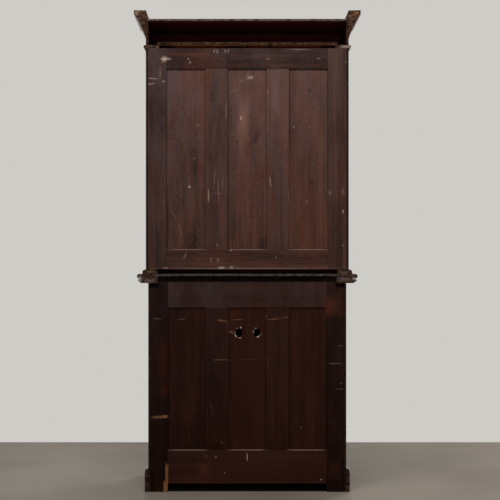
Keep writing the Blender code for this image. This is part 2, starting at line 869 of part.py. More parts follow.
def make_door_frame(door):
    edge = DOOR_SIDE_GAP / 2
    body = block(
        (
            on_door(door, edge, face_depth(), door.foot),
            on_door(door, door.width, face_depth() + DOOR_THICKNESS, door.head),
        )
    )
    part = make_part(f"{door.name}_door_frame", body, POLISHED_WOOD, door.carrier)
    opening = sight_opening(door, -OVERRUN, DOOR_THICKNESS + OVERRUN)
    cut(part, "opening", block(opening), door.carrier)
    beds = [door_leaf_bed(door, height) for height in hinge_heights(door.foot, door.head)]
    cut(part, "hinge_beds", block(*beds), door.carrier)
    cut(part, "sight_chamfer", chamfer_cutter(door), door.carrier)
    return part


def chamfer_cutter(door):
    """A shallow pyramid stump that slopes the front edge of the opening."""
    bm = block(sight_opening(door, -SIGHT_CHAMFER, SIGHT_CHAMFER, 0))
    front = min(vert.co.y for vert in bm.verts)
    middle = sum((vert.co for vert in bm.verts), Vector()) / len(bm.verts)
    for vert in bm.verts:
        if vert.co.y < front + SEAM:
            vert.co.x += math.copysign(2 * SIGHT_CHAMFER, vert.co.x - middle.x)
            vert.co.z += math.copysign(2 * SIGHT_CHAMFER, vert.co.z - middle.z)
    return bm


def glaze(door, frame):
    """The pane lies against the front lip, and a ring of beads holds it from inside."""
    grow = GLASS_REBATE
    rebate = sight_opening(door, GLASS_LIP, DOOR_THICKNESS + OVERRUN, grow)
    cut(frame, "glass_rebate", block(rebate), door.carrier)
    near = GLASS_LIP + SEAM
    far = near + GLASS_THICKNESS
    pane = block(sight_opening(door, near, far, grow - SEAM))
    make_part(f"{door.name}_glass_pane", pane, GLASS, door.carrier)
    ring = block(sight_opening(door, far + SEAM, DOOR_THICKNESS, grow - SEAM))
    bead = make_part(f"{door.name}_glazing_bead", ring, POLISHED_WOOD, door.carrier)
    inside = sight_opening(door, far - OVERRUN, DOOR_THICKNESS + OVERRUN, grow - SEAM - BEAD_WIDTH)
    cut(bead, "sight", block(inside), door.carrier)


def fit_panel(door, frame):
    """A raised and fielded panel in a groove round the frame's opening."""
    near = (DOOR_THICKNESS - DOOR_PANEL_THICKNESS) / 2
    far = near + DOOR_PANEL_THICKNESS
    groove = sight_opening(door, near - SEAM, far + SEAM, PANEL_TONGUE + SEAM)
    cut(frame, "panel_groove", block(groove), door.carrier)
    bm = block(sight_opening(door, near, far, PANEL_TONGUE))
    front = min(bm.faces, key=lambda face: face.calc_center_median().y)
    bmesh.ops.inset_region(bm, faces=[front], thickness=PANEL_TONGUE + DOOR_PANEL_MARGIN)
    bmesh.ops.inset_region(bm, faces=[front], thickness=DOOR_PANEL_BEVEL, depth=DOOR_PANEL_RISE)
    make_part(f"{door.name}_door_panel", bm, POLISHED_WOOD, door.carrier)


# Locks and keys, on the right-hand doors


def key_axis(door, height):
    return on_door(door, door.width - LOCK_BACKSET, face_depth(), height)


def lock_depth():
    """How far the middle of the lock lies behind a door's hinge axis."""
    return face_depth() + DOOR_THICKNESS / 2


def keyhole_slot(door, height, near, far):
    """The slot below a keyhole, between two depths behind the hinge axis."""
    middle = door.width - LOCK_BACKSET
    half = KEYHOLE_SLOT_WIDTH / 2
    reach = KEY_BIT_REACH + KEY_CLEARANCE
    return (on_door(door, middle - half, near, height - reach), on_door(door, middle + half, far, height))


def keyhole_round(door, height, near, far):
    middle = door.width - LOCK_BACKSET
    radius = KEY_SHAFT_RADIUS + KEY_CLEARANCE
    return rod(on_door(door, middle, near, height), on_door(door, middle, far, height), radius)


def bolt_block(door, height, slack):
    """The bolt's own block, or with some slack the channel that it slides in."""
    thick = BOLT_THICKNESS / 2 + slack
    foot = height + BOLT_ABOVE_KEY
    return (
        on_door(door, door.width - BOLT_INSET, lock_depth() - thick, foot - slack),
        on_door(
            door,
            door.width - BOLT_INSET - BOLT_LENGTH - slack,
            lock_depth() + thick,
            foot + BOLT_HEIGHT + slack,
        ),
    )


def bolt_channel(door, height):
    edge, deep = bolt_block(door, height, SEAM)
    edge.x -= door.side * OVERRUN
    return edge, deep


def mortise_lock(door, frame, height):
    """Cut the keyhole, the room in which the key's bit turns, and the bolt's channel."""
    near = -OVERRUN
    cut(frame, "keyhole", keyhole_round(door, height, near, lock_depth()), door.carrier)
    slot = keyhole_slot(door, height, near, lock_depth())
    cut(frame, "keyhole_slot", block(slot), door.carrier)
    half = KEY_BIT_WIDTH / 2 + KEY_CLEARANCE
    middle = door.width - LOCK_BACKSET
    room = rod(
        on_door(door, middle, lock_depth() - half, height),
        on_door(door, middle, lock_depth() + half, height),
        KEY_BIT_REACH + 2 * KEY_CLEARANCE,
    )
    cut(frame, "bit_room", room, door.carrier)
    cut(frame, "bolt_channel", block(bolt_channel(door, height)), door.carrier)
    make_part(f"{door.cabinet.name}_lock_bolt", block(bolt_block(door, height, 0)), STEEL, door.carrier)


def cut_bolt_pocket(door, frame, height):
    """The left door takes the thrown bolt in a pocket in its edge."""
    slack = KEY_CLEARANCE
    thick = BOLT_THICKNESS / 2 + slack
    foot = height + BOLT_ABOVE_KEY
    pocket = (
        on_door(door, door.width + OVERRUN, lock_depth() - thick, foot - slack),
        on_door(door, door.width - BOLT_POCKET_DEPTH, lock_depth() + thick, foot + BOLT_HEIGHT + slack),
    )
    cut(frame, "bolt_pocket", block(pocket), door.carrier)


def make_escutcheon(door, height):
    """An oval plate round the keyhole, as tall as it needs to be for the slot."""
    bm = rod((0, -ESCUTCHEON_THICKNESS, 0), (0, 0, 0), 1.0, ESCUTCHEON_SIDES)
    centre = key_axis(door, height)
    centre.y -= SEAM
    shape = Matrix.Diagonal((ESCUTCHEON_WIDTH / 2, 1.0, ESCUTCHEON_HEIGHT / 2, 1.0))
    bmesh.ops.transform(bm, matrix=Matrix.Translation(centre) @ shape, verts=bm.verts)
    part = make_part(f"{door.cabinet.name}_escutcheon", bm, BRASS, door.carrier)
    near, far = -OVERRUN, face_depth() + OVERRUN
    cut(part, "keyhole", keyhole_round(door, height, near, far), door.carrier)
    cut(part, "keyhole_slot", block(keyhole_slot(door, height, near, far)), door.carrier)
    shade_round(part)


def make_key(door, height):
    """A key in its lock: shaft, collar, bit and a ring to hold."""
    axis = key_axis(door, height)
    carrier = make_pivot(f"{door.cabinet.name}_key_axis", axis, door.carrier)
    tip = axis + Vector((0, lock_depth() - face_depth() + KEY_BIT_WIDTH / 2, 0))
    bow_side = axis - Vector((0, KEY_STAND_OFF, 0))
    name = f"{door.cabinet.name}_key"
    part = make_part(name, rod(tip, bow_side, KEY_SHAFT_RADIUS), STEEL, carrier)
    bit_near = tip - Vector((KEY_BIT_THICKNESS / 2, KEY_BIT_WIDTH, 0))
    bit_far = tip + Vector((KEY_BIT_THICKNESS / 2, -SEAM, -KEY_BIT_REACH))
    join(part, "bit", block((bit_near, bit_far)), carrier)
    collar_end = bow_side + Vector((0, KEY_COLLAR_LENGTH, 0))
    collar_start = collar_end + Vector((0, KEY_COLLAR_LENGTH, 0))
    join(part, "collar", rod(collar_start, collar_end, KEY_COLLAR_RADIUS), carrier)
    join(part, "bow", key_bow(bow_side - Vector((0, KEY_BOW_RADIUS, 0))), carrier)
    shade_round(part)


def key_bow(middle):
    """A ring that stands upright and edge on to the door, like the bit."""
    bpy.ops.mesh.primitive_torus_add(
        major_radius=KEY_BOW_RADIUS,
        minor_radius=KEY_BOW_WIRE,
        major_segments=20,
        minor_segments=8,
    )
    ring = bpy.context.object
    bm = bmesh.new()
    bm.from_mesh(ring.data)
    bpy.data.objects.remove(ring, do_unlink=True)
    turn = Matrix.Rotation(math.radians(90), 4, "Y")
    bmesh.ops.transform(bm, matrix=Matrix.Translation(middle) @ turn, verts=bm.verts)
    return bm


# Putting doors in their cabinets


def new_door(cabinet, hand, side, stile, top_rail, bottom_rail):
    axis = hinge_axis(cabinet, side)
    name = f"{cabinet.name}_{hand}"
    width = abs(axis.x) - DOOR_MEETING_GAP / 2
    carrier = make_pivot(f"{name}_door_hinge_axis", axis)
    foot = cabinet.floor + DOOR_END_GAP
    head = cabinet.ceiling - DOOR_END_GAP
    return Door(name, side, cabinet, axis, width, foot, head, stile, top_rail, bottom_rail, carrier)


def lock_height(door, share):
    return door.foot + share * (door.head - door.foot)


def finish_door(door, frame, share):
    heights = hinge_heights(door.foot, door.head)
    for label, height in zip(("bottom", "top"), heights):
        make_hinge(door, label, height)
    height = lock_height(door, share)
    if door.side < 0:
        cut_bolt_pocket(door, frame, height)
        return
    mortise_lock(door, frame, height)
    make_escutcheon(door, height)
    make_key(door, height)


def make_upper_doors():
    for hand, side in (("left", -1), ("right", 1)):
        door = new_door(UPPER, hand, side, UPPER_DOOR_STILE, UPPER_DOOR_TOP_RAIL, UPPER_DOOR_BOTTOM_RAIL)
        frame = make_door_frame(door)
        glaze(door, frame)
        finish_door(door, frame, UPPER_LOCK_SHARE)


def make_lower_doors():
    for hand, side in (("left", -1), ("right", 1)):
        door = new_door(LOWER, hand, side, LOWER_DOOR_STILE, LOWER_DOOR_TOP_RAIL, LOWER_DOOR_BOTTOM_RAIL)
        frame = make_door_frame(door)
        fit_panel(door, frame)
        finish_door(door, frame, LOWER_LOCK_SHARE)


# The two cabinets


def make_cabinet_boards(cabinet, shares):
    heights = hinge_heights(cabinet.floor + DOOR_END_GAP, cabinet.ceiling - DOOR_END_GAP)
    for hand, side in (("left", -1), ("right", 1)):
        make_side(cabinet, hand, side, shares, heights)
    for number, foot in enumerate(shelf_feet(cabinet, shares), start=1):
        make_shelf(cabinet, f"{cabinet.name}_shelf_{number}", foot)
    floor_foot = cabinet.floor - BOARD_THICKNESS
    make_cross_board(cabinet, f"{cabinet.name}_bottom_board", floor_foot, cabinet.front, RAW_PINE)


def make_bookcase():
    make_cabinet_boards(LOWER, LOWER_SHELF_SHARES)
    make_lower_back()
    make_plinth()
    make_waist()
    make_lower_doors()
    make_base_frame()
    make_cabinet_boards(UPPER, UPPER_SHELF_SHARES)
    make_cross_board(UPPER, "upper_top_board", UPPER.ceiling, UPPER.front, RAW_PINE)
    make_upper_back()
    make_upper_doors()
    make_necking()
    make_frieze()
    make_cornice_boards()
    make_crown()


make_bookcase()
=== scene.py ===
# %% [markdown]
# # Dressing a two-part bookcase
#
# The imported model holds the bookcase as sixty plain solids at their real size: a glazed cabinet under
# a splayed cornice, standing on a deeper cupboard. This lesson gives those solids the look of old,
# stained and polished wood. The camera stands behind the bookcase, where the framed and panelled back
# shows, so the back gets the closest attention, but the doors, the glass and the hinges are dressed too.
#
# The model is loaded first, because every piece that follows takes its size and its place from it.

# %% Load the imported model
import json
import math
import random
from collections import namedtuple

import bmesh
import bpy
import numpy as np
from mathutils import Matrix, Vector

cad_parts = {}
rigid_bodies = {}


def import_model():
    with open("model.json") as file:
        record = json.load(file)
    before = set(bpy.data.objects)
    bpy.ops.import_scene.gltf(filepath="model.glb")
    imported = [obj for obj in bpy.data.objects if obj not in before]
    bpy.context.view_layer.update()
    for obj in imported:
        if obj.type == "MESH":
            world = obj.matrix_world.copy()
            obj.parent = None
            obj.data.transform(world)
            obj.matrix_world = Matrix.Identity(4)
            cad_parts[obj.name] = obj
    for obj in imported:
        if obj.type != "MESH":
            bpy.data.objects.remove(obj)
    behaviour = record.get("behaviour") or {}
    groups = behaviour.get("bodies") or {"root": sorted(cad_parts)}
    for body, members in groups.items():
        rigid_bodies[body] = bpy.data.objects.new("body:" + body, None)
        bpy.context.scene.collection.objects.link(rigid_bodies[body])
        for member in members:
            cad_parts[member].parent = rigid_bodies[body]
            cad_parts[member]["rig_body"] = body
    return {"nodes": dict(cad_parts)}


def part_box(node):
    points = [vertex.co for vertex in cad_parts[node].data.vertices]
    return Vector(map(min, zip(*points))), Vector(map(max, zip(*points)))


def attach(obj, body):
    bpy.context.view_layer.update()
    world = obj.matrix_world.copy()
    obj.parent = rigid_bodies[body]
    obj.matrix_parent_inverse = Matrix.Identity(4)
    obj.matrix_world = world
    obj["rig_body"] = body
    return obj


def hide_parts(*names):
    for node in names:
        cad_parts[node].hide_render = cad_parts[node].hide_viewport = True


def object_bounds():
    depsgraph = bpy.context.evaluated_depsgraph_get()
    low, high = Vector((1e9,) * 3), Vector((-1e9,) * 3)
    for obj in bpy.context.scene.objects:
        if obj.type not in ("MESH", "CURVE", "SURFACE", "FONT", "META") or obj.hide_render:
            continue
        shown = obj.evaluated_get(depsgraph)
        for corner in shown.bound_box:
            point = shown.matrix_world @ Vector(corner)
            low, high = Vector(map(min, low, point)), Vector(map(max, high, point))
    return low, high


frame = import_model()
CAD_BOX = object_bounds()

MM = 0.001
BACK_PLANE = CAD_BOX[1][1]
print("CAD nodes:", len(frame["nodes"]), "box:", [tuple(round(v, 4) for v in corner) for corner in CAD_BOX])

# %% [markdown]
# ## The view
#
# The photograph was taken level, from behind, at about half the height of the bookcase and some five
# metres away. A real camera keeps upright lines upright by sliding its lens instead of tilting it, and
# Blender's shift does the same, so the camera here stays level and shifts a little.

# %% Place the camera
CAMERA_SPOT = (0.036, 5.55, 1.155)
LENS = 77.1
LENS_SHIFT = (0.0200, 0.0180)


def add_camera():
    data = bpy.data.cameras.new("camera")
    data.lens = LENS
    data.shift_x, data.shift_y = LENS_SHIFT
    camera = bpy.data.objects.new("camera", data)
    camera.location = CAMERA_SPOT
    camera.rotation_euler = (math.radians(90), 0, math.radians(180))
    bpy.context.scene.collection.objects.link(camera)
    bpy.context.scene.camera = camera
    return camera


camera = add_camera()
bpy.context.scene.view_settings.view_transform = "Standard"
print("camera at", tuple(camera.location))

# %% [markdown]
# ## Helpers for shader nodes
#
# A material is a graph of nodes. Adding each node and each link takes several lines, so a few short
# helpers do it in one: `put` adds a node and wires what it is given, and the others stand for the
# nodes that wood needs most. A value that is a socket is linked, and a plain number is typed in.

# %% Define the node helpers


def wire(tree, value, socket):
    if isinstance(value, bpy.types.NodeSocket):
        tree.links.new(value, socket)
    else:
        socket.default_value = value


def put(tree, kind, sockets, **settings):
    node = tree.nodes.new(kind)
    for key, value in settings.items():
        setattr(node, key, value)
    for name, value in sockets.items():
        wire(tree, value, node.inputs[name])
    return node


def maths(tree, operation, first, second=0.0):
    return put(tree, "ShaderNodeMath", {0: first, 1: second}, operation=operation).outputs[0]


def vector(tree, operation, first, second=(0, 0, 0)):
    node = put(tree, "ShaderNodeVectorMath", {0: first, 1: second}, operation=operation)
    return node.outputs["Value" if operation in ("LENGTH", "DISTANCE", "DOT_PRODUCT") else "Vector"]


def noise(tree, place, scale, detail, roughness=0.5, distortion=0.0):
    sockets = {
        "Vector": place,
        "Scale": scale,
        "Detail": detail,
        "Roughness": roughness,
        "Distortion": distortion,
    }
    return put(tree, "ShaderNodeTexNoise", sockets).outputs[0]


def remap(tree, value, low, high, to_low=0.0, to_high=1.0, curve="SMOOTHSTEP"):
    sockets = {"Value": value, "From Min": low, "From Max": high, "To Min": to_low, "To Max": to_high}
    return put(tree, "ShaderNodeMapRange", sockets, interpolation_type=curve).outputs[0]


def mix(tree, share, first, second, way="MIX"):
    """Mix two colours. The colour sockets of a Mix node are its seventh and eighth."""
    node = put(tree, "ShaderNodeMix", {0: share, 6: first, 7: second}, data_type="RGBA", blend_type=way)
    return node.outputs[2]


def srgb(red, green, blue):
    """A colour as a picture program names it, turned into the linear light that Blender mixes."""
    parts = []
    for part in (red, green, blue):
        part /= 255
        parts.append(part / 12.92 if part <= 0.04045 else ((part + 0.055) / 1.055) ** 2.4)
    return (*parts, 1.0)


# %% [markdown]
# ## Light, background and floor
#
# The bookcase stands in soft daylight. Most of it comes from high up, which leaves ledges light and
# puts a dark line under everything that stands out; a weak wide light behind the camera softens that,
# and another one lights the front. Neither glass nor polish shows a lamp. The world gives the rest. Its
# pale colour shows only to the camera, to mirrors and to glass, so the background is pale and yet adds
# no light of its own.

# %% Light the scene
SKY = srgb(206, 204, 199)
AMBIENT = (0.86, 0.92, 1.0, 1.0)
AMBIENT_STRENGTH = 0.22

# Each lamp: its place, what it points at, its width and height, its power and its colour
LAMPS = {
    "skylight": ((0.3, 2.1, 4.6), (0, 0.2, 1.1), (2.2, 0.9), 118.0, (1.0, 0.99, 0.97)),
    "window_light": ((0.7, 4.9, 1.7), (0, 0, 1.0), (3.4, 2.0), 54.0, (1.0, 0.97, 0.93)),
    "front_light": ((-2.8, -3.6, 3.3), (0, 0, 1.2), (2.2, 2.2), 130.0, (1.0, 0.98, 0.95)),
}


def light_world():
    world = bpy.data.worlds.new("daylight")
    world.use_nodes = True
    bpy.context.scene.world = world
    tree = world.node_tree
    tree.nodes.clear()
    rays = tree.nodes.new("ShaderNodeLightPath")
    seen = maths(tree, "MAXIMUM", rays.outputs["Is Camera Ray"], rays.outputs["Is Glossy Ray"])
    seen = maths(tree, "MAXIMUM", seen, rays.outputs["Is Transmission Ray"])
    lit = put(tree, "ShaderNodeBackground", {"Color": AMBIENT, "Strength": AMBIENT_STRENGTH})
    shown = put(tree, "ShaderNodeBackground", {"Color": SKY, "Strength": 1.0})
    either = put(tree, "ShaderNodeMixShader", {0: seen, 1: lit.outputs[0], 2: shown.outputs[0]})
    put(tree, "ShaderNodeOutputWorld", {"Surface": either.outputs[0]})


def add_lamp(name, spot, target, size, power, colour):
    data = bpy.data.lights.new(name, "AREA")
    data.shape = "RECTANGLE"
    data.size, data.size_y = size
    data.energy = power
    data.color = colour
    lamp = bpy.data.objects.new(name, data)
    lamp.location = spot
    lamp.rotation_euler = (Vector(target) - Vector(spot)).to_track_quat("-Z", "Y").to_euler()
    lamp.visible_glossy = False
    lamp.visible_transmission = False
    bpy.context.scene.collection.objects.link(lamp)


light_world()
for lamp_name, settings in LAMPS.items():
    add_lamp(lamp_name, *settings)
print("lamps:", list(LAMPS))

# %% [markdown]
# The floor is one sheet with rounded corners, which catches the shadow that says where the bookcase
# stands. Under the cupboard a painted shadow darkens it, where hardly any light gets in.

# %% Lay the floor
FLOOR_HALF = (2.7, 1.2)
FLOOR_RADIUS = 0.25
FLOOR_CORNER_STEPS = 12
FLOOR_THICKNESS = 4 * MM
FLOOR_TONES = (srgb(120, 111, 100), srgb(134, 125, 113))
# The painted shadow under the cupboard: its half size, its tone, and where it starts to fade
PAINTED_SHADOW_HALF = (0.50, 0.235)
PAINTED_SHADOW_TONE = srgb(30, 26, 23)
PAINTED_SHADOW_FADE = 0.93


def floor_material():
    material = bpy.data.materials.new("pale floor")
    material.use_nodes = True
    tree = material.node_tree
    place = tree.nodes.new("ShaderNodeTexCoord").outputs["Object"]
    cloud = noise(tree, place, 1.3, 4.0)
    colour = mix(tree, remap(tree, cloud, 0.35, 0.65), *FLOOR_TONES)
    # Painted shadow: the floor turns dark inside the cupboard's footprint
    share = vector(tree, "DIVIDE", vector(tree, "ABSOLUTE", place), (*PAINTED_SHADOW_HALF, 1.0))
    share = put(tree, "ShaderNodeSeparateXYZ", {0: share}).outputs
    far = maths(tree, "MAXIMUM", share["X"], share["Y"])
    colour = mix(tree, remap(tree, far, PAINTED_SHADOW_FADE, 1.0, 1.0, 0.0), colour, PAINTED_SHADOW_TONE)
    shader = tree.nodes["Principled BSDF"]
    wire(tree, colour, shader.inputs["Base Color"])
    shader.inputs["Roughness"].default_value = 0.55
    return material


def lay_floor():
    """A sheet with rounded corners, whose top face is the plane that the bookcase stands on."""
    bm = bmesh.new()
    bmesh.ops.create_cube(bm, size=1.0)
    size = Vector((2 * FLOOR_HALF[0], 2 * FLOOR_HALF[1], FLOOR_THICKNESS))
    for vert in bm.verts:
        vert.co = Vector((vert.co.x, vert.co.y, vert.co.z - 0.5)) * size
    uprights = []
    for edge in bm.edges:
        foot, head = edge.verts
        if abs(foot.co.z - head.co.z) > FLOOR_THICKNESS / 2:
            uprights.append(edge)
    bmesh.ops.bevel(
        bm, geom=uprights, offset=FLOOR_RADIUS, segments=FLOOR_CORNER_STEPS, profile=0.5, affect="EDGES"
    )
    mesh = bpy.data.meshes.new("floor")
    bm.to_mesh(mesh)
    bm.free()
    floor = bpy.data.objects.new("floor", mesh)
    mesh.materials.append(floor_material())
    bpy.context.scene.collection.objects.link(floor)


lay_floor()
print("floor:", [2 * half for half in FLOOR_HALF], "thick:", FLOOR_THICKNESS)

# %% [markdown]
# ## What wood is made of
#
# A tree grows in rings round its middle, and a board is a slice of that. A picture of grain glued on a
# board looks wrong at its ends, so the rings here are worked out in space: each piece carries an
# attribute named `grain`, whose first number runs along the fibres and whose other two run across.
# Rings are the distance from the tree's middle, bent a little by noise. The same coordinates, stretched
# along the fibres, give fibres, streaks and pores, and a board's end then shows its rings by itself.
#
# Node groups make each effect once, so that every wood in the bookcase can use it with its own values.

# %% Start a node group


def new_group(name, inputs, outputs):
    """A shader group with named inputs, given as name: (socket kind, value), and its outputs' kinds."""
    tree = bpy.data.node_groups.new(name, "ShaderNodeTree")
    for label, (kind, value) in inputs.items():
        socket = tree.interface.new_socket(name=label, in_out="INPUT", socket_type=kind)
        if value is not None:
            socket.default_value = value
    for label, kind in outputs.items():
        tree.interface.new_socket(name=label, in_out="OUTPUT", socket_type=kind)
    return tree, tree.nodes.new("NodeGroupInput").outputs, tree.nodes.new("NodeGroupOutput").inputs


def use_group(tree, group, sockets):
    node = tree.nodes.new("ShaderNodeGroup")
    node.node_tree = group
    for name, value in sockets.items():
        wire(tree, value, node.inputs[name])
    return node.outputs


FLOAT, VECTOR = "NodeSocketFloat", "NodeSocketVector"

# %% [markdown]
# The grain is drawn by noise that is stretched along the fibres. The stretch says how often each
# pattern repeats in a metre: seldom along a board, and hundreds of times across it.

# %% Build the timber group
# How often each pattern repeats in a metre, once along the fibres and twice across them
BEND_STRETCH = (0.9, 5, 5)
FIBRE_STRETCH = (7, 420, 420)
STREAK_STRETCH = (1.1, 26, 26)
CLOUD_STRETCH = (2.6, 7, 7)
PORE_STRETCH = (48, 1500, 1500)
LATE_WOOD = (0.25, 0.95)
PORE_LIMITS = (0.60, 0.72)


def timber_group():
    inputs = {
        "Grain": (VECTOR, None),
        "Ring Width": (FLOAT, 5 * MM),
        "Wander": (FLOAT, 18 * MM),
    }
    outputs = {"Rings": FLOAT, "Fibres": FLOAT, "Streaks": FLOAT, "Clouds": FLOAT, "Pores": FLOAT}
    tree, given, result = new_group("timber figure", inputs, outputs)
    grain = given["Grain"]
    across = vector(tree, "MULTIPLY", grain, (0, 1, 1))
    bent = noise(tree, vector(tree, "MULTIPLY", grain, BEND_STRETCH), 1.0, 3.0)
    bend = maths(tree, "MULTIPLY", maths(tree, "SUBTRACT", bent, 0.5), given["Wander"])
    radius = maths(tree, "ADD", vector(tree, "LENGTH", across), bend)
    turns = maths(tree, "DIVIDE", radius, given["Ring Width"])
    saw = maths(tree, "FRACT", turns)
    late = remap(tree, saw, *LATE_WOOD)
    early = remap(tree, saw, LATE_WOOD[1], 1.0, 1.0, 0.0)
    rings = maths(tree, "MULTIPLY", late, early)
    wire(tree, rings, result["Rings"])
    fibres = noise(tree, vector(tree, "MULTIPLY", grain, FIBRE_STRETCH), 1.0, 3.0, 0.6)
    wire(tree, fibres, result["Fibres"])
    streaks = noise(tree, vector(tree, "MULTIPLY", grain, STREAK_STRETCH), 1.0, 5.0, 0.58)
    wire(tree, streaks, result["Streaks"])
    clouds = noise(tree, vector(tree, "MULTIPLY", grain, CLOUD_STRETCH), 1.0, 5.0, 0.62, 0.5)
    wire(tree, clouds, result["Clouds"])
    pits = noise(tree, vector(tree, "MULTIPLY", grain, PORE_STRETCH), 1.0, 1.0)
    wire(tree, remap(tree, pits, *PORE_LIMITS), result["Pores"])
    return tree


TIMBER = timber_group()
print("timber gives:", [item.name for item in TIMBER.interface.items_tree if item.in_out == "OUTPUT"])

# %% [markdown]
# ## Age
#
# Old furniture shows its age in four ways, and each is a group here. Corners that hands and brooms
# have touched are rubbed to lighter wood: an attribute named `edge` is 1 on a softened corner and
# noise breaks it up. Dust lies on what faces up, and is patchy too.

# %% Build the groups for wear and dust


def wear_group():
    inputs = {"Place": (VECTOR, None), "Edge": (FLOAT, 0.0), "Amount": (FLOAT, 0.5)}
    tree, given, result = new_group("rubbed corners", inputs, {"Mask": FLOAT})
    broken = noise(tree, given["Place"], 26.0, 5.0, 0.7)
    limit = maths(tree, "SUBTRACT", 1.0, given["Amount"])
    worn = maths(tree, "MULTIPLY", given["Edge"], remap(tree, broken, 0.30, 0.75))
    wire(tree, remap(tree, maths(tree, "SUBTRACT", worn, limit), 0.0, 0.25), result["Mask"])
    return tree


def dust_group():
    inputs = {"Place": (VECTOR, None), "Amount": (FLOAT, 0.6)}
    tree, given, result = new_group("dust", inputs, {"Mask": FLOAT})
    normal = tree.nodes.new("ShaderNodeTexCoord").outputs["Normal"]
    upward = remap(tree, vector(tree, "DOT_PRODUCT", normal, (0, 0, 1)), 0.45, 0.95)
    patchy = remap(tree, noise(tree, given["Place"], 8.0, 6.0, 0.6), 0.25, 0.75, 0.45, 1.0)
    lying = maths(tree, "MULTIPLY", upward, patchy)
    wire(tree, maths(tree, "MULTIPLY", lying, given["Amount"]), result["Mask"])
    return tree


WEAR = wear_group()
DUST = dust_group()
print("groups:", WEAR.name, DUST.name)

# %% [markdown]
# Fine scratches are thin bands where a slow noise passes its middle value, kept only where a second
# noise allows. A single mark at a known place, such as a bare strip of wood, is a box in space with a
# ragged edge.

# %% Build the groups for scratches and marks
SCRATCH_TURN = math.radians(33)
SCRATCH_STRETCH = (1.0, 1.0, 0.35)


def scratch_group():
    inputs = {"Place": (VECTOR, None), "Scale": (FLOAT, 7.0), "Width": (FLOAT, 0.004), "Amount": (FLOAT, 0.5)}
    tree, given, result = new_group("scratches", inputs, {"Mask": FLOAT})
    tilted = put(
        tree,
        "ShaderNodeVectorRotate",
        {"Vector": given["Place"], "Angle": SCRATCH_TURN},
        rotation_type="Y_AXIS",
    ).outputs[0]
    stretched = vector(tree, "MULTIPLY", tilted, SCRATCH_STRETCH)
    band = noise(tree, stretched, given["Scale"], 1.0)
    away = maths(tree, "ABSOLUTE", maths(tree, "SUBTRACT", band, 0.5))
    line = maths(tree, "SUBTRACT", 1.0, maths(tree, "DIVIDE", away, given["Width"]))
    line = maths(tree, "MAXIMUM", line, 0.0)
    where = noise(tree, given["Place"], 11.0, 3.0, 0.6)
    limit = maths(tree, "SUBTRACT", 0.80, maths(tree, "MULTIPLY", given["Amount"], 0.3))
    kept = remap(tree, maths(tree, "SUBTRACT", where, limit), 0.0, 0.06)
    wire(tree, maths(tree, "MULTIPLY", line, kept), result["Mask"])
    return tree


def mark_group():
    inputs = {
        "Place": (VECTOR, None),
        "Centre": (VECTOR, None),
        "Half Size": (VECTOR, None),
        "Turn": (FLOAT, 0.0),
        "Ragged": (FLOAT, 0.5),
        "Core": (FLOAT, 0.8),
        "Noise": (FLOAT, 0.5),
    }
    tree, given, result = new_group("mark at a place", inputs, {"Mask": FLOAT})
    turned = put(
        tree,
        "ShaderNodeVectorRotate",
        {"Vector": given["Place"], "Center": given["Centre"], "Angle": given["Turn"]},
        rotation_type="Y_AXIS",
    ).outputs[0]
    offset = vector(tree, "ABSOLUTE", vector(tree, "SUBTRACT", turned, given["Centre"]))
    reach = vector(tree, "DIVIDE", offset, given["Half Size"])
    share = put(tree, "ShaderNodeSeparateXYZ", {0: reach}).outputs
    far = maths(tree, "MAXIMUM", maths(tree, "MAXIMUM", share["X"], share["Y"]), share["Z"])
    broken = maths(tree, "MULTIPLY", maths(tree, "SUBTRACT", given["Noise"], 0.5), 2.0)
    edge = maths(tree, "ADD", far, maths(tree, "MULTIPLY", broken, given["Ragged"]))
    wire(tree, remap(tree, edge, given["Core"], 1.05, 1.0, 0.0), result["Mask"])
    return tree


SCRATCHES = scratch_group()
MARK = mark_group()
print("shader groups:", sorted(group.name for group in bpy.data.node_groups))

# %% [markdown]
# ## The woods
#
# One function makes every wood, and a short recipe says how they differ: how dark and how light the
# boards are, how strongly rings and streaks show, how much they shine, and how worn they are. The back
# was only ever stained, never polished, so it is dull. The upper back is greyer and lighter
# than the lower one, which stays dark red-brown.

# %% Write the recipes of the backs
Recipe = namedtuple(
    "Recipe",
    "deep pale warm bare haze rear rings streaks clouds ring_width roughness coat gloss relief "
    "wear dust scratch red specks splinters",
)

UPPER_BACK_RECIPE = Recipe(
    deep=srgb(34, 18, 13),
    pale=srgb(104, 66, 52),
    warm=srgb(94, 52, 38),
    bare=srgb(148, 115, 96),
    rings=0.10,
    streaks=0.75,
    clouds=0.50,
    roughness=0.66,
    coat=0.0,
    gloss=0.06,
    ring_width=6 * MM,
    wear=0.32,
    dust=0.55,
    scratch=0.45,
    haze=srgb(90, 77, 77),
    rear=(srgb(17, 9, 6), srgb(64, 43, 31)),
    relief=0.5,
    red=0.24,
    specks=0.42,
    splinters=0.45,
)
LOWER_BACK_RECIPE = UPPER_BACK_RECIPE._replace(
    deep=srgb(20, 8, 5),
    pale=srgb(63, 34, 26),
    warm=srgb(62, 30, 19),
    bare=srgb(104, 66, 44),
    streaks=0.55,
    clouds=0.55,
    gloss=0.04,
    wear=0.20,
    dust=0.7,
    scratch=0.35,
    haze=srgb(70, 56, 54),
    specks=0.05,
)
print("a recipe says:", *Recipe._fields)

# %% [markdown]
# The cornice is stained like the lower back. Its boards, and those inside the case, are cheap pine that
# was left bare: orange where air never reached it, grey-brown where dust lay on it for a century.

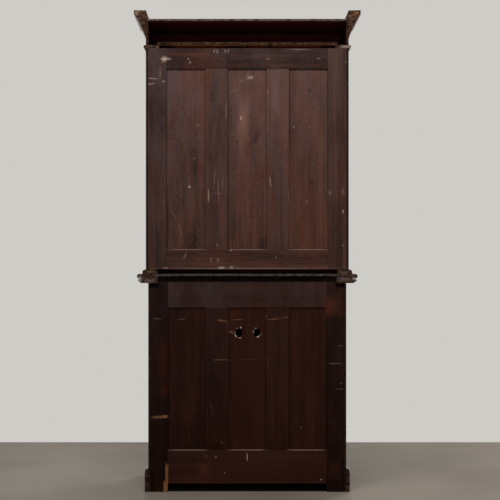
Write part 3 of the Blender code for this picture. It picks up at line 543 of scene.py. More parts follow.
# %% Write the recipes of the cornice and the pine
CORNICE_RECIPE = LOWER_BACK_RECIPE._replace(
    deep=srgb(26, 8, 5),
    pale=srgb(80, 36, 24),
    wear=0.2,
    dust=0.3,
    haze=srgb(40, 16, 11),
)
CORNICE_TOP_RECIPE = CORNICE_RECIPE._replace(rear=(srgb(34, 24, 19), srgb(92, 78, 69)), splinters=0.15)
PINE_RECIPE = UPPER_BACK_RECIPE._replace(
    deep=srgb(112, 58, 26),
    pale=srgb(236, 158, 92),
    warm=srgb(226, 130, 62),
    bare=srgb(132, 98, 66),
    haze=srgb(196, 124, 68),
    rings=0.35,
    streaks=0.7,
    clouds=0.8,
    roughness=0.78,
    ring_width=7 * MM,
    wear=0.7,
    dust=0.85,
    scratch=0.1,
    specks=0.1,
)
CORNICE_PINE_RECIPE = PINE_RECIPE._replace(pale=srgb(212, 126, 72), warm=srgb(192, 96, 50), wear=0.2)
DUSTY_PINE_RECIPE = PINE_RECIPE._replace(
    deep=srgb(56, 46, 40),
    pale=srgb(112, 98, 86),
    warm=srgb(98, 80, 64),
    haze=srgb(92, 82, 75),
    rear=(srgb(42, 39, 37), srgb(76, 72, 70)),
    wear=0.0,
    splinters=0.15,
)
print("dust on cornice, its top and pine:", CORNICE_RECIPE.dust, CORNICE_TOP_RECIPE.dust, PINE_RECIPE.dust)

# %% [markdown]
# The cases' sides and the doors were polished outside, but their inner faces and rear edges never
# were. A mask that reads which way a surface looks, in the piece's own frame so that a swung door keeps
# its finish, makes those dull later on. Polish fills the pores, so the relief is lower too.

# %% Write the recipes of the polished wood
POLISHED_RECIPE = UPPER_BACK_RECIPE._replace(
    deep=srgb(44, 15, 9),
    pale=srgb(104, 46, 26),
    warm=srgb(116, 50, 22),
    bare=srgb(134, 76, 44),
    haze=srgb(58, 32, 24),
    rings=0.35,
    streaks=0.9,
    clouds=0.8,
    roughness=0.30,
    coat=0.35,
    gloss=0.14,
    relief=0.22,
    ring_width=4 * MM,
    wear=0.38,
    dust=0.25,
    scratch=0.12,
    specks=0.0,
)
SIDE_RECIPE = POLISHED_RECIPE._replace(rear=(srgb(17, 9, 6), srgb(50, 31, 24)), splinters=0.06)

SPLINTER = srgb(138, 122, 110)
DUST_TONE = srgb(126, 108, 98)
print("coat and gloss:", POLISHED_RECIPE.coat, POLISHED_RECIPE.gloss)

# %% [markdown]
# ## Marks at known places
#
# Marks on the back are listed by what they are, in the order in which they are painted. Each has its
# centre and half size in millimetres on the back plane, a style, and perhaps a turn in degrees and a
# tone of its own. A style says how ragged the edge is, how far the full colour reaches, how strong it
# is and what colour it leaves. Bare wood is orange, rubbing is pale, and knots are dark and soft. The
# names say left and right as seen from behind, so a mark on the left has a positive X.

# %% Name the kinds of mark
Style = namedtuple("Style", "grit ragged core strength colour")
Mark = namedtuple("Mark", "name x z half_x half_z turn style")
CHIP = Style("fine", 0.55, 0.30, 0.62, srgb(160, 136, 118))
RUB = Style("coarse", 0.60, -0.20, 0.40, srgb(126, 98, 86))
GLOW = Style("coarse", 0.40, -0.60, 0.45, srgb(120, 84, 68))
FLECKS = Style("fine", 2.40, 0.30, 0.42, srgb(150, 126, 114))
LINE = Style("fine", 1.10, 0.10, 0.50, srgb(128, 104, 92))
ARC = Style("fine", 0.60, -0.30, 0.32, srgb(126, 104, 96))
GOUGE = Style("fine", 1.00, 0.10, 0.60, srgb(112, 76, 50))
BARE = Style("fine", 0.50, 0.60, 0.92, srgb(124, 82, 50))
KNOT = Style("coarse", 0.80, -0.20, 0.60, srgb(26, 14, 10))
REDDENED = Style("coarse", 0.60, -0.50, 0.45, srgb(84, 36, 20))
# A pale line on a ledge: dust, and a painted highlight where light from above falls on it
LEDGE_DUST_AND_HIGHLIGHT = Style("fine", 0.90, 0.60, 0.45, srgb(150, 122, 110))
SHADE = Style("coarse", 0.30, 0.35, 0.95, srgb(5, 1, 1))
# Dark patches: painted shade on the cornice's pine, and a darker, browner middle
STAIN_AND_SHADE = Style("coarse", 0.50, 0.40, 0.85, srgb(22, 8, 5))
FOOT_GREY = Style("fine", 1.80, 0.00, 0.50, srgb(124, 110, 106))
TIP_PALE = Style("fine", 2.00, 0.10, 0.70, srgb(186, 172, 164))
HEAD_BROWN = Style("fine", 1.40, -0.20, 0.45, srgb(122, 94, 74))
BROKEN_WOOD = (196, 178, 166)


def mark(name, x, z, half_x, half_z, style, turn=0, tone=None, **changes):
    """A mark by its centre and half size in millimetres, with what changes in its style."""
    if tone:
        changes["colour"] = srgb(*tone)
    return Mark(name, x * MM, z * MM, half_x * MM, half_z * MM, turn, style._replace(**changes))


# %% [markdown]
# On the upper back, broad soft tones come first: the middle is paler, and red shows at the
# panels' edges. Then come the star where something rubbed through the stain, and the chips at the head.

# %% List the tones and the marks at the head of the upper back
UPPER_TONES = (
    mark("glow in the middle panel", 20, 1850, 45, 150, GLOW, turn=3, strength=0.6, tone=(146, 104, 90)),
    mark("glow above it", 50, 1985, 35, 100, GLOW, strength=0.3),
    mark("long pale streak", 21, 1700, 22, 140, GLOW, turn=3, strength=0.35),
    mark("grey head of a muntin", -140, 1960, 36, 200, GLOW, strength=0.6, tone=(108, 90, 86)),
    mark("red side of a panel", 222, 1800, 20, 360, REDDENED, strength=0.35),
    mark("red streak in a panel", -270, 1930, 16, 140, REDDENED, turn=2, strength=0.4),
    mark("red foot of a panel", -270, 1300, 24, 120, REDDENED, strength=0.4),
)
UPPER_HEAD_MARKS = (
    mark("star, level arm", 404, 2145, 34, 8, RUB, strength=0.9, tone=(176, 152, 134)),
    mark("star, upright arm", 409, 2145, 16, 19, RUB, strength=0.9, tone=(176, 152, 134)),
    mark("rub below the star", 423, 2126, 10, 5, GOUGE),
    mark("chip beside the star", 292, 2146, 6, 4, CHIP, turn=20),
    mark("second chip beside it", 284, 2128, 4, 7, CHIP),
    mark("head chips", 163, 2185, 5.5, 11.5, FLECKS, ragged=1.0),
    mark("head chips beside them", 148, 2182, 6, 13, FLECKS, turn=4, ragged=1.0),
    mark("second head chips", 109, 2184, 6, 10, FLECKS, turn=-4, ragged=1.0),
    mark("chips beside the second", 94, 2185, 5, 10, FLECKS, ragged=1.0),
    mark("head edge line", -262, 2192, 52, 4, FLECKS),
    mark("second rail rub", -104, 2146, 14, 4, CHIP, strength=0.28),
    mark("third rail rub", -352, 2147, 14, 4, CHIP, strength=0.28),
    mark("stile rub", 431, 2080, 7, 30, RUB, strength=0.7),
    mark("stile line", 468, 2048, 32, 3.4, LINE, turn=4, strength=0.8, tone=(142, 122, 116)),
    mark("second stile line", 478, 2022, 22, 3.4, LINE, turn=-4, strength=0.9, tone=(148, 130, 124)),
    mark("stile corner rub", 414, 2034, 10, 6, CHIP, strength=0.45),
)
print("upper tones and head marks:", len(UPPER_TONES), len(UPPER_HEAD_MARKS))

# %% [markdown]
# Boxes and brooms have scraped the panels and muntins, in thin arcs that lean the way an arm swings.

# %% List the scrapes and chips in the middle of the upper back
UPPER_MIDDLE_MARKS = (
    mark("panel scrape", 24, 2036, 26, 5, ARC, turn=-36, strength=0.6),
    mark("second panel scrape", 62, 1992, 22, 5, ARC, turn=-24, strength=0.5),
    mark("panel chips", -16, 2054, 18, 8, FLECKS, strength=0.8),
    mark("bright chip", 31, 1853, 5, 12, CHIP, strength=0.95),
    mark("edge dot", -101, 1984, 4, 6, CHIP),
    mark("edge line", -100, 1880, 2.6, 190, LINE, strength=0.4),
    mark("far edge line", 104.6, 1888, 2.6, 50, CHIP, strength=0.4),
    mark("left panel chip", 243, 1819, 5, 3, CHIP, strength=0.6),
    mark("right panel chip", -231, 1810, 5, 4, CHIP),
    mark("second right panel chip", -308, 1806, 4, 3, CHIP, strength=0.6),
    mark("red patch of the left panel", 238, 1595, 26, 120, REDDENED, tone=(92, 52, 40)),
    mark("white dot", 287, 1513, 5.5, 5.5, CHIP, strength=1.0, tone=(190, 174, 158)),
    mark("muntin rub", 162, 1560, 4.6, 60, ARC, turn=3, strength=0.5),
    mark("second muntin rub", 143, 1490, 5.2, 75, ARC, turn=-3, strength=0.7),
    mark("third muntin rub", 122, 1530, 4.4, 60, ARC, turn=2),
    mark("muntin cross line", 146, 1480, 34, 4, ARC, strength=0.5),
    mark("muntin edge chips", 192, 1468, 4, 40, CHIP, strength=0.6),
    mark("long arc, head", 362, 1370, 6, 34, ARC, turn=-34),
    mark("long arc", 330, 1290, 6, 75, ARC, turn=-12),
    mark("short arc", 308, 1171, 6.5, 26, ARC, turn=22, strength=0.75),
    mark("muntin foot chips", -114, 1536, 4, 30, CHIP, turn=-6, strength=0.5),
    mark("muntin side line", -205, 1460, 2.6, 50, LINE),
    mark("right stile dot", -474, 1390, 4, 10, CHIP, strength=1.0),
    mark("low right stile dot", -472, 1222, 4, 5, CHIP),
    mark("right stile rub", -408, 1482, 11, 16, RUB, strength=0.75),
    mark("right stile flecks", -474, 1488, 9, 18, FLECKS, strength=0.28),
    mark("pale spot", -296, 1440, 10, 12, RUB),
)
print("upper middle marks:", len(UPPER_MIDDLE_MARKS))

# %% [markdown]
# The foot of the upper back is chipped where the two cases were lifted apart, and a pale line of dust
# and painted highlight lies on each ledge. The knots are painted last, since nothing covers them.

# %% List the marks at the foot of the upper back and the knots
UPPER_FOOT_MARKS = (
    mark("rail dot", -141, 1163, 5, 3, CHIP),
    mark("foot chip", 128, 1111.5, 16, 6.5, CHIP, strength=0.8, ragged=2.0, tone=(178, 158, 146)),
    mark("second foot chip", 78, 1112.5, 9, 8.5, CHIP, strength=0.7, ragged=1.6),
    mark("ledge chip", 80, 1199.5, 8, 5, CHIP, strength=0.6),
    mark("muntin foot chip", 148, 1225, 5, 10, CHIP, strength=0.25, ragged=1.2),
    mark("foot chip at the stile", 404, 1111, 14, 4, CHIP, strength=0.5),
    mark("foot smear", 180, 1150, 7.5, 18, ARC, strength=0.7),
    mark("second foot smear", 145, 1150, 8, 15, ARC, strength=1.0),
    mark("foot edge flecks", 0, 1108, 440, 4, FLECKS),
    # Pale ledge lines: dust and painted highlight
    mark("left ledge", 299, 1202, 100, 3, LEDGE_DUST_AND_HIGHLIGHT),
    mark("middle ledge", 0, 1202, 98, 3, LEDGE_DUST_AND_HIGHLIGHT),
    mark("right ledge", -300, 1202, 100, 3, LEDGE_DUST_AND_HIGHLIGHT),
)
UPPER_KNOTS = (
    mark("knot in the middle panel", -43, 1760, 20, 60, KNOT, turn=24),
    mark("small knot in the middle panel", 52, 1737, 10, 10, KNOT),
    mark("knot in the right panel", -310, 1990, 12, 14, KNOT),
    mark("low knot in the right panel", -317, 1536, 18, 18, KNOT),
    mark("knot in the left muntin", 172, 1965, 12, 46, KNOT),
    mark("pale middle of the left muntin", 162, 1790, 32, 170, GLOW, strength=0.6, tone=(100, 70, 60)),
    mark("pale foot of the left panel", 268, 1420, 38, 200, GLOW, strength=0.7, tone=(96, 65, 53)),
)
UPPER_MARKS = (*UPPER_TONES, *UPPER_HEAD_MARKS, *UPPER_MIDDLE_MARKS, *UPPER_FOOT_MARKS, *UPPER_KNOTS)
print("upper marks:", len(UPPER_MARKS))

# %% [markdown]
# The lower back is darker and dirtier. A painted shadow blackens it under the ledge and the waist's ends,
# a strip has split off one foot and shows bare wood, and the stiles have reddened where hands gripped them.

# %% List the tones and the bare wood of the lower back
LOWER_TONES = (
    # Painted shadow: black under the waist's ledge and under its two ends, where they overhang the back
    mark("painted shadow under the ledge", 0, 1057, 490, 17.5, SHADE, core=0.75),
    mark("painted shadow under the waist's left end", 466, 1027, 36, 17, SHADE, core=0.5),
    mark("pale middle of the top rail", 0, 1000, 220, 50, GLOW, strength=0.22, tone=(82, 64, 60)),
    mark("painted shadow under the waist's right end", -466, 1027, 36, 15, SHADE, core=0.5),
    mark("bare foot strip", 399, 75, 8.5, 72, BARE, turn=1),
    mark("foot of the strip", 405, 25, 12.5, 32, BARE, turn=3),
    mark("split in the strip", 402, 60, 1.6, 50, KNOT, turn=2),
    mark("bare streak", 436, 371, 50, 9.5, GOUGE, turn=-3, strength=0.9, ragged=0.8),
    mark("bright end of the streak", 408, 374, 14, 7, BARE, turn=-4, ragged=1.0),
    mark("reddened stile", 410, 500, 26, 50, REDDENED, turn=20),
    mark(
        "reddened corner", -424, 925, 56, 74, REDDENED, turn=-6, core=-0.2, strength=0.75, tone=(80, 44, 34)
    ),
    mark("redder side of the corner", -396, 905, 18, 52, REDDENED, strength=0.55, tone=(104, 48, 30)),
    mark("red foot of the stile", 420, 650, 50, 160, REDDENED, strength=0.3),
)
print("lower tones:", len(LOWER_TONES))

# %% [markdown]
# Level gouges cross the panels at two heights, where the edge of some other piece stood against them.

# %% List the gouges of the lower back
LOWER_GOUGES = (
    mark("gouge by the holes", 124, 849, 32, 6, GOUGE, turn=8, strength=0.8),
    mark("bright end of the gouge", 134, 851, 14, 4.6, GOUGE, turn=8, strength=0.9, ragged=0.6),
    mark("second gouge", 44, 855, 34, 3.4, GOUGE, turn=-3, strength=0.7),
    mark("smear over the joint", 94, 824, 12, 24, GLOW, turn=20, strength=0.35, tone=(92, 56, 34)),
    mark("smear by the left hole", 81, 793, 18, 9, GOUGE, turn=24, strength=0.8, tone=(104, 72, 58)),
    mark("fill of the right gouge", -152, 863, 56, 11, GLOW, turn=-4, strength=0.5, tone=(98, 54, 40)),
    mark("right gouge", -128, 855, 38, 3, GOUGE, turn=-2, strength=0.7, tone=(118, 84, 68)),
    mark("end of the right gouge", -192, 866, 18, 3.4, GOUGE, turn=-12, tone=(118, 84, 68)),
    mark("turn of the right gouge", -95, 872, 2.6, 16, GOUGE),
    mark("left stile gouge", 446, 858, 24, 3, LINE, turn=3),
    mark("left panel gouge", 326, 856, 24, 3.4, LINE, turn=-3, strength=0.35),
    mark("low line", 132, 655, 44, 3, GOUGE, strength=0.85),
    mark("low line, far end", -10, 657, 60, 2, LINE, strength=0.18),
    mark("joint line", -100, 640, 2.4, 40, LINE, strength=0.25),
    mark("right stile nick", -462, 724, 14, 4, LINE, turn=4, strength=0.35),
    mark("right stile line", -436, 636, 42, 2.6, LINE, strength=0.7),
    mark("lower right nick", -464, 538, 10, 3.6, LINE, turn=-3, strength=0.35),
    mark("lowest right nick", -460, 510, 22, 3, LINE, turn=2, strength=0.4),
)
print("lower gouges:", len(LOWER_GOUGES))

# %% [markdown]
# The foot has been kicked and scuffed. The cable holes were broken through rather than drilled, so
# splinters left pale patches round them, and each of these has its own place too.

# %% List the marks at the foot of the lower back and the holes' broken edges
LOWER_FOOT_MARKS = (
    mark("upright scratch", 0, 173, 3.2, 22, CHIP, strength=1.0),
    mark("rail dot", 204, 178, 4, 4, CHIP, strength=0.4),
    mark("second rail dot", 156, 174, 5, 4, CHIP),
    mark("third rail dot", 126, 245, 4, 4, CHIP, strength=0.4),
    mark("low rail dot", 112, 96, 5, 4, CHIP, strength=0.5),
    mark("reddened rail", 214, 108, 34, 50, REDDENED, strength=0.55, tone=(88, 48, 31)),
    mark("reddened foot", -430, 115, 48, 75, REDDENED, tone=(72, 40, 29)),
    mark("foot chip", -366, 61, 5, 4.5, CHIP, strength=0.7),
    mark("dark spot above it", -360, 130, 8, 8, KNOT),
    mark("panel dot", -269, 319, 4, 4, CHIP, strength=0.4),
    mark("left panel scuff", 178, 420, 10, 50, ARC, turn=-12, strength=0.10),
    # Pale ledge lines: dust and painted highlight
    mark("left ledge", 295, 207.5, 98, 3.2, LEDGE_DUST_AND_HIGHLIGHT),
    mark("middle ledge", 0, 207.5, 94, 3.2, LEDGE_DUST_AND_HIGHLIGHT),
    mark("right ledge", -295, 207.5, 98, 3.2, LEDGE_DUST_AND_HIGHLIGHT),
)
HOLE_CHIPS = (
    mark("far hole, upper chip", 32.2, 812, 3.6, 9.5, CHIP, turn=10, strength=0.9, tone=BROKEN_WOOD),
    mark("far hole, head chip", 50, 811, 6, 3.2, CHIP, turn=30, strength=0.5),
    mark("far hole, side chip", 57, 774, 3.8, 9.5, CHIP, turn=-34, strength=0.8, tone=BROKEN_WOOD),
    mark("far hole, side ring", 61, 788, 2.6, 9, CHIP, strength=0.5),
    mark("far hole, foot chip", 37, 765, 7, 4.5, CHIP, turn=14, strength=0.8, tone=BROKEN_WOOD),
    mark("near hole, foot chip", -53, 769.5, 9, 4, CHIP, turn=-18, strength=1.0, tone=BROKEN_WOOD),
    mark("near hole, side chip", -31.2, 792, 3.4, 12, CHIP, strength=0.75),
    mark("near hole, far side", -67, 781.5, 3, 7, CHIP, turn=24, strength=0.45),
    mark("near hole, upper chip", -42, 811, 7, 3.4, CHIP, turn=-10, strength=0.7),
)
LOWER_MARKS = (*LOWER_TONES, *LOWER_GOUGES, *LOWER_FOOT_MARKS, *HOLE_CHIPS)
print("lower marks:", len(LOWER_MARKS))

# %% [markdown]
# Two boards and the mouldings' sawn ends have marks of their own: painted shade on the cornice's pine,
# painted shade along the foot of the waist's board, and grey, brown and splintered patches on the ends.

# %% List the marks on boards and sawn ends
DUST_BOARD_MARKS = (
    # Painted shade on the pine seen from behind: at both ends, in the butt and at a spot; the middle is
    # browner
    mark("dark left end", 408, 2218, 54, 30, STAIN_AND_SHADE),
    mark("brown middle", 64, 2218, 60, 30, STAIN_AND_SHADE, strength=0.5),
    mark("dark butt", -1, 2218, 10, 30, STAIN_AND_SHADE),
    mark("dark spot", -114, 2218, 9, 30, STAIN_AND_SHADE),
    mark("dark right end", -402, 2218, 48, 30, STAIN_AND_SHADE),
)
# Painted shade: a dark line along the foot of the waist board's rear edge
WAIST_BOARD_MARKS = (mark("painted shade along its foot", 0, 1069.3, 500, 2.8, SHADE),)
END_MARKS = (
    mark("grey foot of the left end", 487, 1047.5, 36, 9, FOOT_GREY),
    mark("splinters at the left tip", 532, 1056, 10, 16, TIP_PALE),
    mark("brown head of the left end", 480, 1093, 30, 9, HEAD_BROWN),
    mark("grey foot of the right end", -480, 1054.5, 44, 12, FOOT_GREY, strength=0.45),
    mark("splinters at the right tip", -531, 1057, 11, 9, TIP_PALE, strength=0.7),
    mark("pale tip of the left horn", 549, 2372, 12, 15, HEAD_BROWN, strength=0.65, tone=(164, 136, 104)),
    # Painted shade: dark along the inner side of the left horn's end
    mark("dark side of the left horn", 512, 2312, 11, 38, HEAD_BROWN, turn=12, strength=0.6, tone=(18, 8, 5)),
    mark("orange head of the right horn", -534, 2370, 22, 17, HEAD_BROWN, strength=0.6, tone=(136, 84, 44)),
    mark("chip on the right horn", -545, 2373.5, 4, 4, CHIP, strength=1.0),
    mark("pale right end of the necking", -488, 2206, 32, 9, FOOT_GREY, strength=0.7, tone=(160, 142, 132)),
    mark("brown head of the right end", -476, 1086, 38, 15, HEAD_BROWN, strength=0.45),
)
print("marks on boards and ends:", len(DUST_BOARD_MARKS), len(WAIST_BOARD_MARKS), len(END_MARKS))

# %% [markdown]
# ## The wood material
#
# A board's colour comes from its figure and its own tone, then a grey bloom that old stain gets in
# light, redder patches, pale and dark specks, and dirt with painted shade along a panel's edges. The
# pieces' attributes `tone` and `haze`, and one for that dirt and painted shade, say how much of each a place
# gets.

# %% Colour the timber
Finish = namedtuple("Finish", "material slot")
FIBRE_WEIGHT = 0.55
FIGURE_CONTRAST = 1.7


def read_number(tree, name):
    return put(tree, "ShaderNodeAttribute", {}, attribute_name=name).outputs["Fac"]


def timber_colour(tree, recipe, figure, tone):
    """Deep to pale by streaks, clouds, fibres, rings and the board's own tone."""
    value = 0.5
    for name, weight in (("Streaks", recipe.streaks), ("Clouds", recipe.clouds), ("Fibres", FIBRE_WEIGHT)):
        part = maths(tree, "MULTIPLY", maths(tree, "SUBTRACT", figure[name], 0.5), FIGURE_CONTRAST * weight)
        value = maths(tree, "ADD", value, part)
    value = maths(tree, "SUBTRACT", value, maths(tree, "MULTIPLY", figure["Rings"], recipe.rings))
    value = maths(tree, "ADD", value, tone)
    colour = mix(tree, remap(tree, value, 0.0, 1.0, curve="LINEAR"), recipe.deep, recipe.pale)
    return mix(tree, maths(tree, "MULTIPLY", figure["Pores"], 0.45), colour, recipe.deep)


def wood_colour(tree, recipe, figure, place):
    """The board's colour with its bloom, its redder patches, its specks, and dirt with painted shade at panel
    edges.
    """
    colour = timber_colour(tree, recipe, figure, read_number(tree, "tone"))
    upright = vector(tree, "MULTIPLY", place, (1.0, 1.0, 0.45))
    blotches = noise(tree, upright, 11.0, 6.0, 0.72)
    bloom = maths(tree, "MULTIPLY", read_number(tree, "haze"), remap(tree, blotches, 0.35, 0.65, 0.5, 1.3))
    colour = mix(tree, bloom, colour, recipe.haze)
    reddening = remap(tree, noise(tree, upright, 7.0, 5.0, 0.7), 0.48, 0.70, 0.0, recipe.red)
    colour = mix(tree, reddening, colour, recipe.warm)
    fine = noise(tree, vector(tree, "MULTIPLY", place, (1.0, 1.0, 0.35)), 260.0, 3.0, 0.65)
    patches = noise(tree, place, 23.0, 4.0, 0.7)
    gathered = remap(tree, patches, 0.35, 0.70, 0.3 * recipe.specks, recipe.specks)
    pale_specks = maths(tree, "MULTIPLY", remap(tree, fine, 0.54, 0.74), gathered)
    dark_specks = maths(tree, "MULTIPLY", remap(tree, fine, 0.46, 0.26), gathered)
    colour = mix(tree, pale_specks, colour, DUST_TONE)
    colour = mix(tree, dark_specks, colour, recipe.deep)
    # Painted shade: black laid along a panel's edges where it leaves its groove, standing for dirt and the
    # recess's shade
    corner = maths(tree, "POWER", read_number(tree, "grime_and_shade"), 1.6)
    grime_and_shade = maths(tree, "MULTIPLY", corner, remap(tree, figure["Streaks"], 0.3, 0.7, 0.95, 0.6))
    return mix(tree, grime_and_shade, colour, (0.0, 0.0, 0.0, 1.0))


# %% [markdown]
# Rear edges and sawn ends stand against the wall. They were never polished, and end grain drinks dirt,
# so they are dark and brown in level bands. Only the last few millimetres before the wall count.

# %% Dull the rear edges
REAR_DEPTH = (0.215, 0.222)


def facing_along(tree, way, low, high):
    """How nearly a face looks one way, from nothing below the low value to all above the high one."""
    normal = tree.nodes.new("ShaderNodeTexCoord").outputs["Normal"]
    return remap(tree, vector(tree, "DOT_PRODUCT", normal, way), low, high)


def rear_masks(tree, place):
    """One where a face looks to the wall, one at the very back, and one where both hold."""
    facing = facing_along(tree, (0, 1, 0), 0.55, 0.85)
    behind = remap(tree, put(tree, "ShaderNodeSeparateXYZ", {0: place}).outputs["Y"], *REAR_DEPTH)
    return facing, behind, maths(tree, "MULTIPLY", facing, behind)


def inner_faces(tree, place, facing):
    """One where a face looks to the wall or to the middle of the case, which polish never reached."""
    middle = vector(tree, "MULTIPLY", place, (-2, 0, 0))
    return maths(tree, "MAXIMUM", facing, facing_along(tree, middle, 0.3, 0.6))


def rear_colour(tree, place, tones, share):
    """Dirty end grain: dark and brown in level bands, with a few pale splinters."""
    grain = noise(tree, vector(tree, "MULTIPLY", place, (0.4, 0.4, 1.0)), 80.0, 5.0, 0.68)
    shifted = maths(tree, "ADD", grain, maths(tree, "MULTIPLY", read_number(tree, "tone"), 0.5))
    colour = mix(tree, remap(tree, shifted, 0.36, 0.64), *tones)
    splinters = noise(tree, place, 210.0, 3.0, 0.6)
    pale = maths(tree, "ADD", remap(tree, shifted, 0.58, 0.72), remap(tree, splinters, 0.58, 0.70))
    return mix(tree, maths(tree, "MULTIPLY", pale, share), colour, SPLINTER)


# %% [markdown]
# A mark is laid over the colour through its mask. A second mask keeps it on the faces it belongs to:
# marks on the back don't show on a board's inner face.

# %% Paint the marks
MARK_DEPTH = 0.060


def paint_marks(tree, place, colour, marks, plane, where):
    """Lay each mark over the colour, where a mask lets it."""
    grit = {"coarse": noise(tree, place, 70.0, 4.0, 0.65), "fine": noise(tree, place, 260.0, 4.0, 0.7)}
    for one in marks:
        sockets = {
            "Place": place,
            "Centre": (one.x, plane, one.z),
            "Half Size": (one.half_x, MARK_DEPTH, one.half_z),
            "Turn": math.radians(one.turn),
            "Ragged": one.style.ragged,
            "Core": one.style.core,
            "Noise": grit[one.style.grit],
        }
        mask = maths(tree, "MULTIPLY", use_group(tree, MARK, sockets)["Mask"], where)
        colour = mix(tree, maths(tree, "MULTIPLY", mask, one.style.strength), colour, one.style.colour)
    return colour


# %% [markdown]
# The material puts it together: the colour, the dull rear edges, the marks, the polished lip of a pine
# board's front, scratches, rubbed corners and at last the dust. The same masks set how rough the
# surface is, and fibres, pores and scratches raise and lower it a little through a Bump node.

# %% Write the wood material
WORN_SHARE = 0.55
WORN_SHARE_BEHIND = 0.12
SCRATCH_SHARE = 0.6
DULL_ROUGHNESS = 0.8
DUST_ROUGHNESS = 0.85
COAT_ROUGHNESS = 0.18
RELIEF_DEPTH = 0.5 * MM


def set_relief(tree, shader, figure, scratches, strength):
    """Fibres and streaks stand up, and pores and scratches sink in."""
    relief = maths(tree, "ADD", maths(tree, "MULTIPLY", figure["Fibres"], 0.5), figure["Streaks"])
    relief = maths(tree, "SUBTRACT", relief, maths(tree, "MULTIPLY", figure["Pores"], 0.5))
    relief = maths(tree, "SUBTRACT", relief, scratches)
    sockets = {"Strength": strength, "Distance": RELIEF_DEPTH, "Height": relief}
    wire(tree, put(tree, "ShaderNodeBump", sockets).outputs[0], shader.inputs["Normal"])


def wood_material(name, recipe, marks=(), plane=BACK_PLANE, rear=False, lipped=False, below=False):
    """A wood by its recipe. Marks on a piece with a rear edge stay on that edge, or reach below it."""
    material = bpy.data.materials.new(name)
    material.use_nodes = True
    tree = material.node_tree
    shader = tree.nodes["Principled BSDF"]
    place = tree.nodes.new("ShaderNodeTexCoord").outputs["Object"]
    grain = put(tree, "ShaderNodeAttribute", {}, attribute_name="grain").outputs["Vector"]
    figure = use_group(tree, TIMBER, {"Grain": grain, "Ring Width": recipe.ring_width})
    colour = wood_colour(tree, recipe, figure, place)
    rough = remap(tree, figure["Clouds"], 0.3, 0.7, recipe.roughness - 0.06, recipe.roughness + 0.08)
    worn_share = WORN_SHARE
    outward = facing_along(tree, (0, 1, 0), -0.6, -0.2)
    if rear:
        facing, behind, rearmost = rear_masks(tree, place)
        dull = inner_faces(tree, place, facing)
        colour = mix(tree, maths(tree, "MULTIPLY", dull, 0.5), colour, recipe.haze)
        worn_share = remap(tree, behind, 0.0, 1.0, WORN_SHARE, WORN_SHARE_BEHIND)
        colour = mix(tree, rearmost, colour, rear_colour(tree, place, recipe.rear, recipe.splinters))
        rough = maths(tree, "MAXIMUM", rough, maths(tree, "MULTIPLY", dull, DULL_ROUGHNESS))
        polish = maths(tree, "MULTIPLY", maths(tree, "SUBTRACT", 1.0, dull), recipe.coat)
        wire(tree, polish, shader.inputs["Coat Weight"])
        outward = outward if below else rearmost
    colour = paint_marks(tree, place, colour, marks, plane, outward)
    if lipped:
        front = facing_along(tree, (0, -1, 0), 0.45, 0.75)
        colour = mix(tree, front, colour, timber_colour(tree, POLISHED_RECIPE, figure, 0.0))
    scratches = use_group(tree, SCRATCHES, {"Place": place, "Amount": recipe.scratch})["Mask"]
    sockets = {"Place": place, "Edge": read_number(tree, "edge"), "Amount": recipe.wear}
    worn = maths(tree, "MULTIPLY", use_group(tree, WEAR, sockets)["Mask"], worn_share)
    rubbed = maths(tree, "MAXIMUM", worn, maths(tree, "MULTIPLY", scratches, SCRATCH_SHARE))
    colour = mix(tree, rubbed, colour, recipe.bare)
    dust = use_group(tree, DUST, {"Place": place, "Amount": recipe.dust})["Mask"]
    wire(tree, mix(tree, dust, colour, DUST_TONE), shader.inputs["Base Color"])
    rough = maths(tree, "MAXIMUM", rough, maths(tree, "MULTIPLY", dust, DUST_ROUGHNESS))
    wire(tree, rough, shader.inputs["Roughness"])
    shader.inputs["Specular IOR Level"].default_value = recipe.gloss
    shader.inputs["Coat Roughness"].default_value = COAT_ROUGHNESS
    set_relief(tree, shader, figure, scratches, recipe.relief)
    return material


# %% [markdown]
# One function makes every wood, so a bare pine board and a polished plinth differ only by a recipe, a
# list of marks, and what their rear edges and fronts are like.

# %% Make the woods of boards, mouldings and sides
DUST_BOARD_REAR = BACK_PLANE - 0.05


def wood_finish(slot, *words, **more):
    return Finish(wood_material(*words, **more), slot)


CORNICE_WOOD = wood_finish("stained_back", "stained cornice boards", CORNICE_RECIPE, rear=True)
CORNICE_TOP_WOOD = wood_finish("raw_pine", "dusty cornice board", CORNICE_TOP_RECIPE, rear=True)
PINE = wood_finish("raw_pine", "bare pine boards", PINE_RECIPE, rear=True, lipped=True)
CORNICE_PINE = wood_finish(
    "raw_pine",
    "pine of the cornice",
    CORNICE_PINE_RECIPE,
    DUST_BOARD_MARKS,
    DUST_BOARD_REAR,
    rear=True,
    below=True,
)
DUSTY_PINE = wood_finish("raw_pine", "dusty pine board", DUSTY_PINE_RECIPE, WAIST_BOARD_MARKS, rear=True)
POLISHED = wood_finish("polished_wood", "polished wood", POLISHED_RECIPE, END_MARKS, rear=True)
SIDE_WOOD = wood_finish("polished_wood", "polished sides", SIDE_RECIPE, rear=True)
print("woods:", [one.material.name for one in (CORNICE_WOOD, PINE, DUSTY_PINE, POLISHED, SIDE_WOOD)])

# %% [markdown]
# ## Metal and glass
#
# Brass that is handled stays yellow and turns brown in its corners. Iron keys and bolts are darker.
# Old window glass is clear but a little uneven, which shows as a slow wave in what it reflects.

# %% Write the metal and glass materials
TARNISH_ROUGHNESS = 0.22
GLASS_TINTS = ((0.93, 0.97, 0.95, 1.0), (0.97, 0.99, 0.98, 1.0))
GLASS_BENDING = 1.46
WAVE_STRETCH = (5.0, 5.0, 2.2)


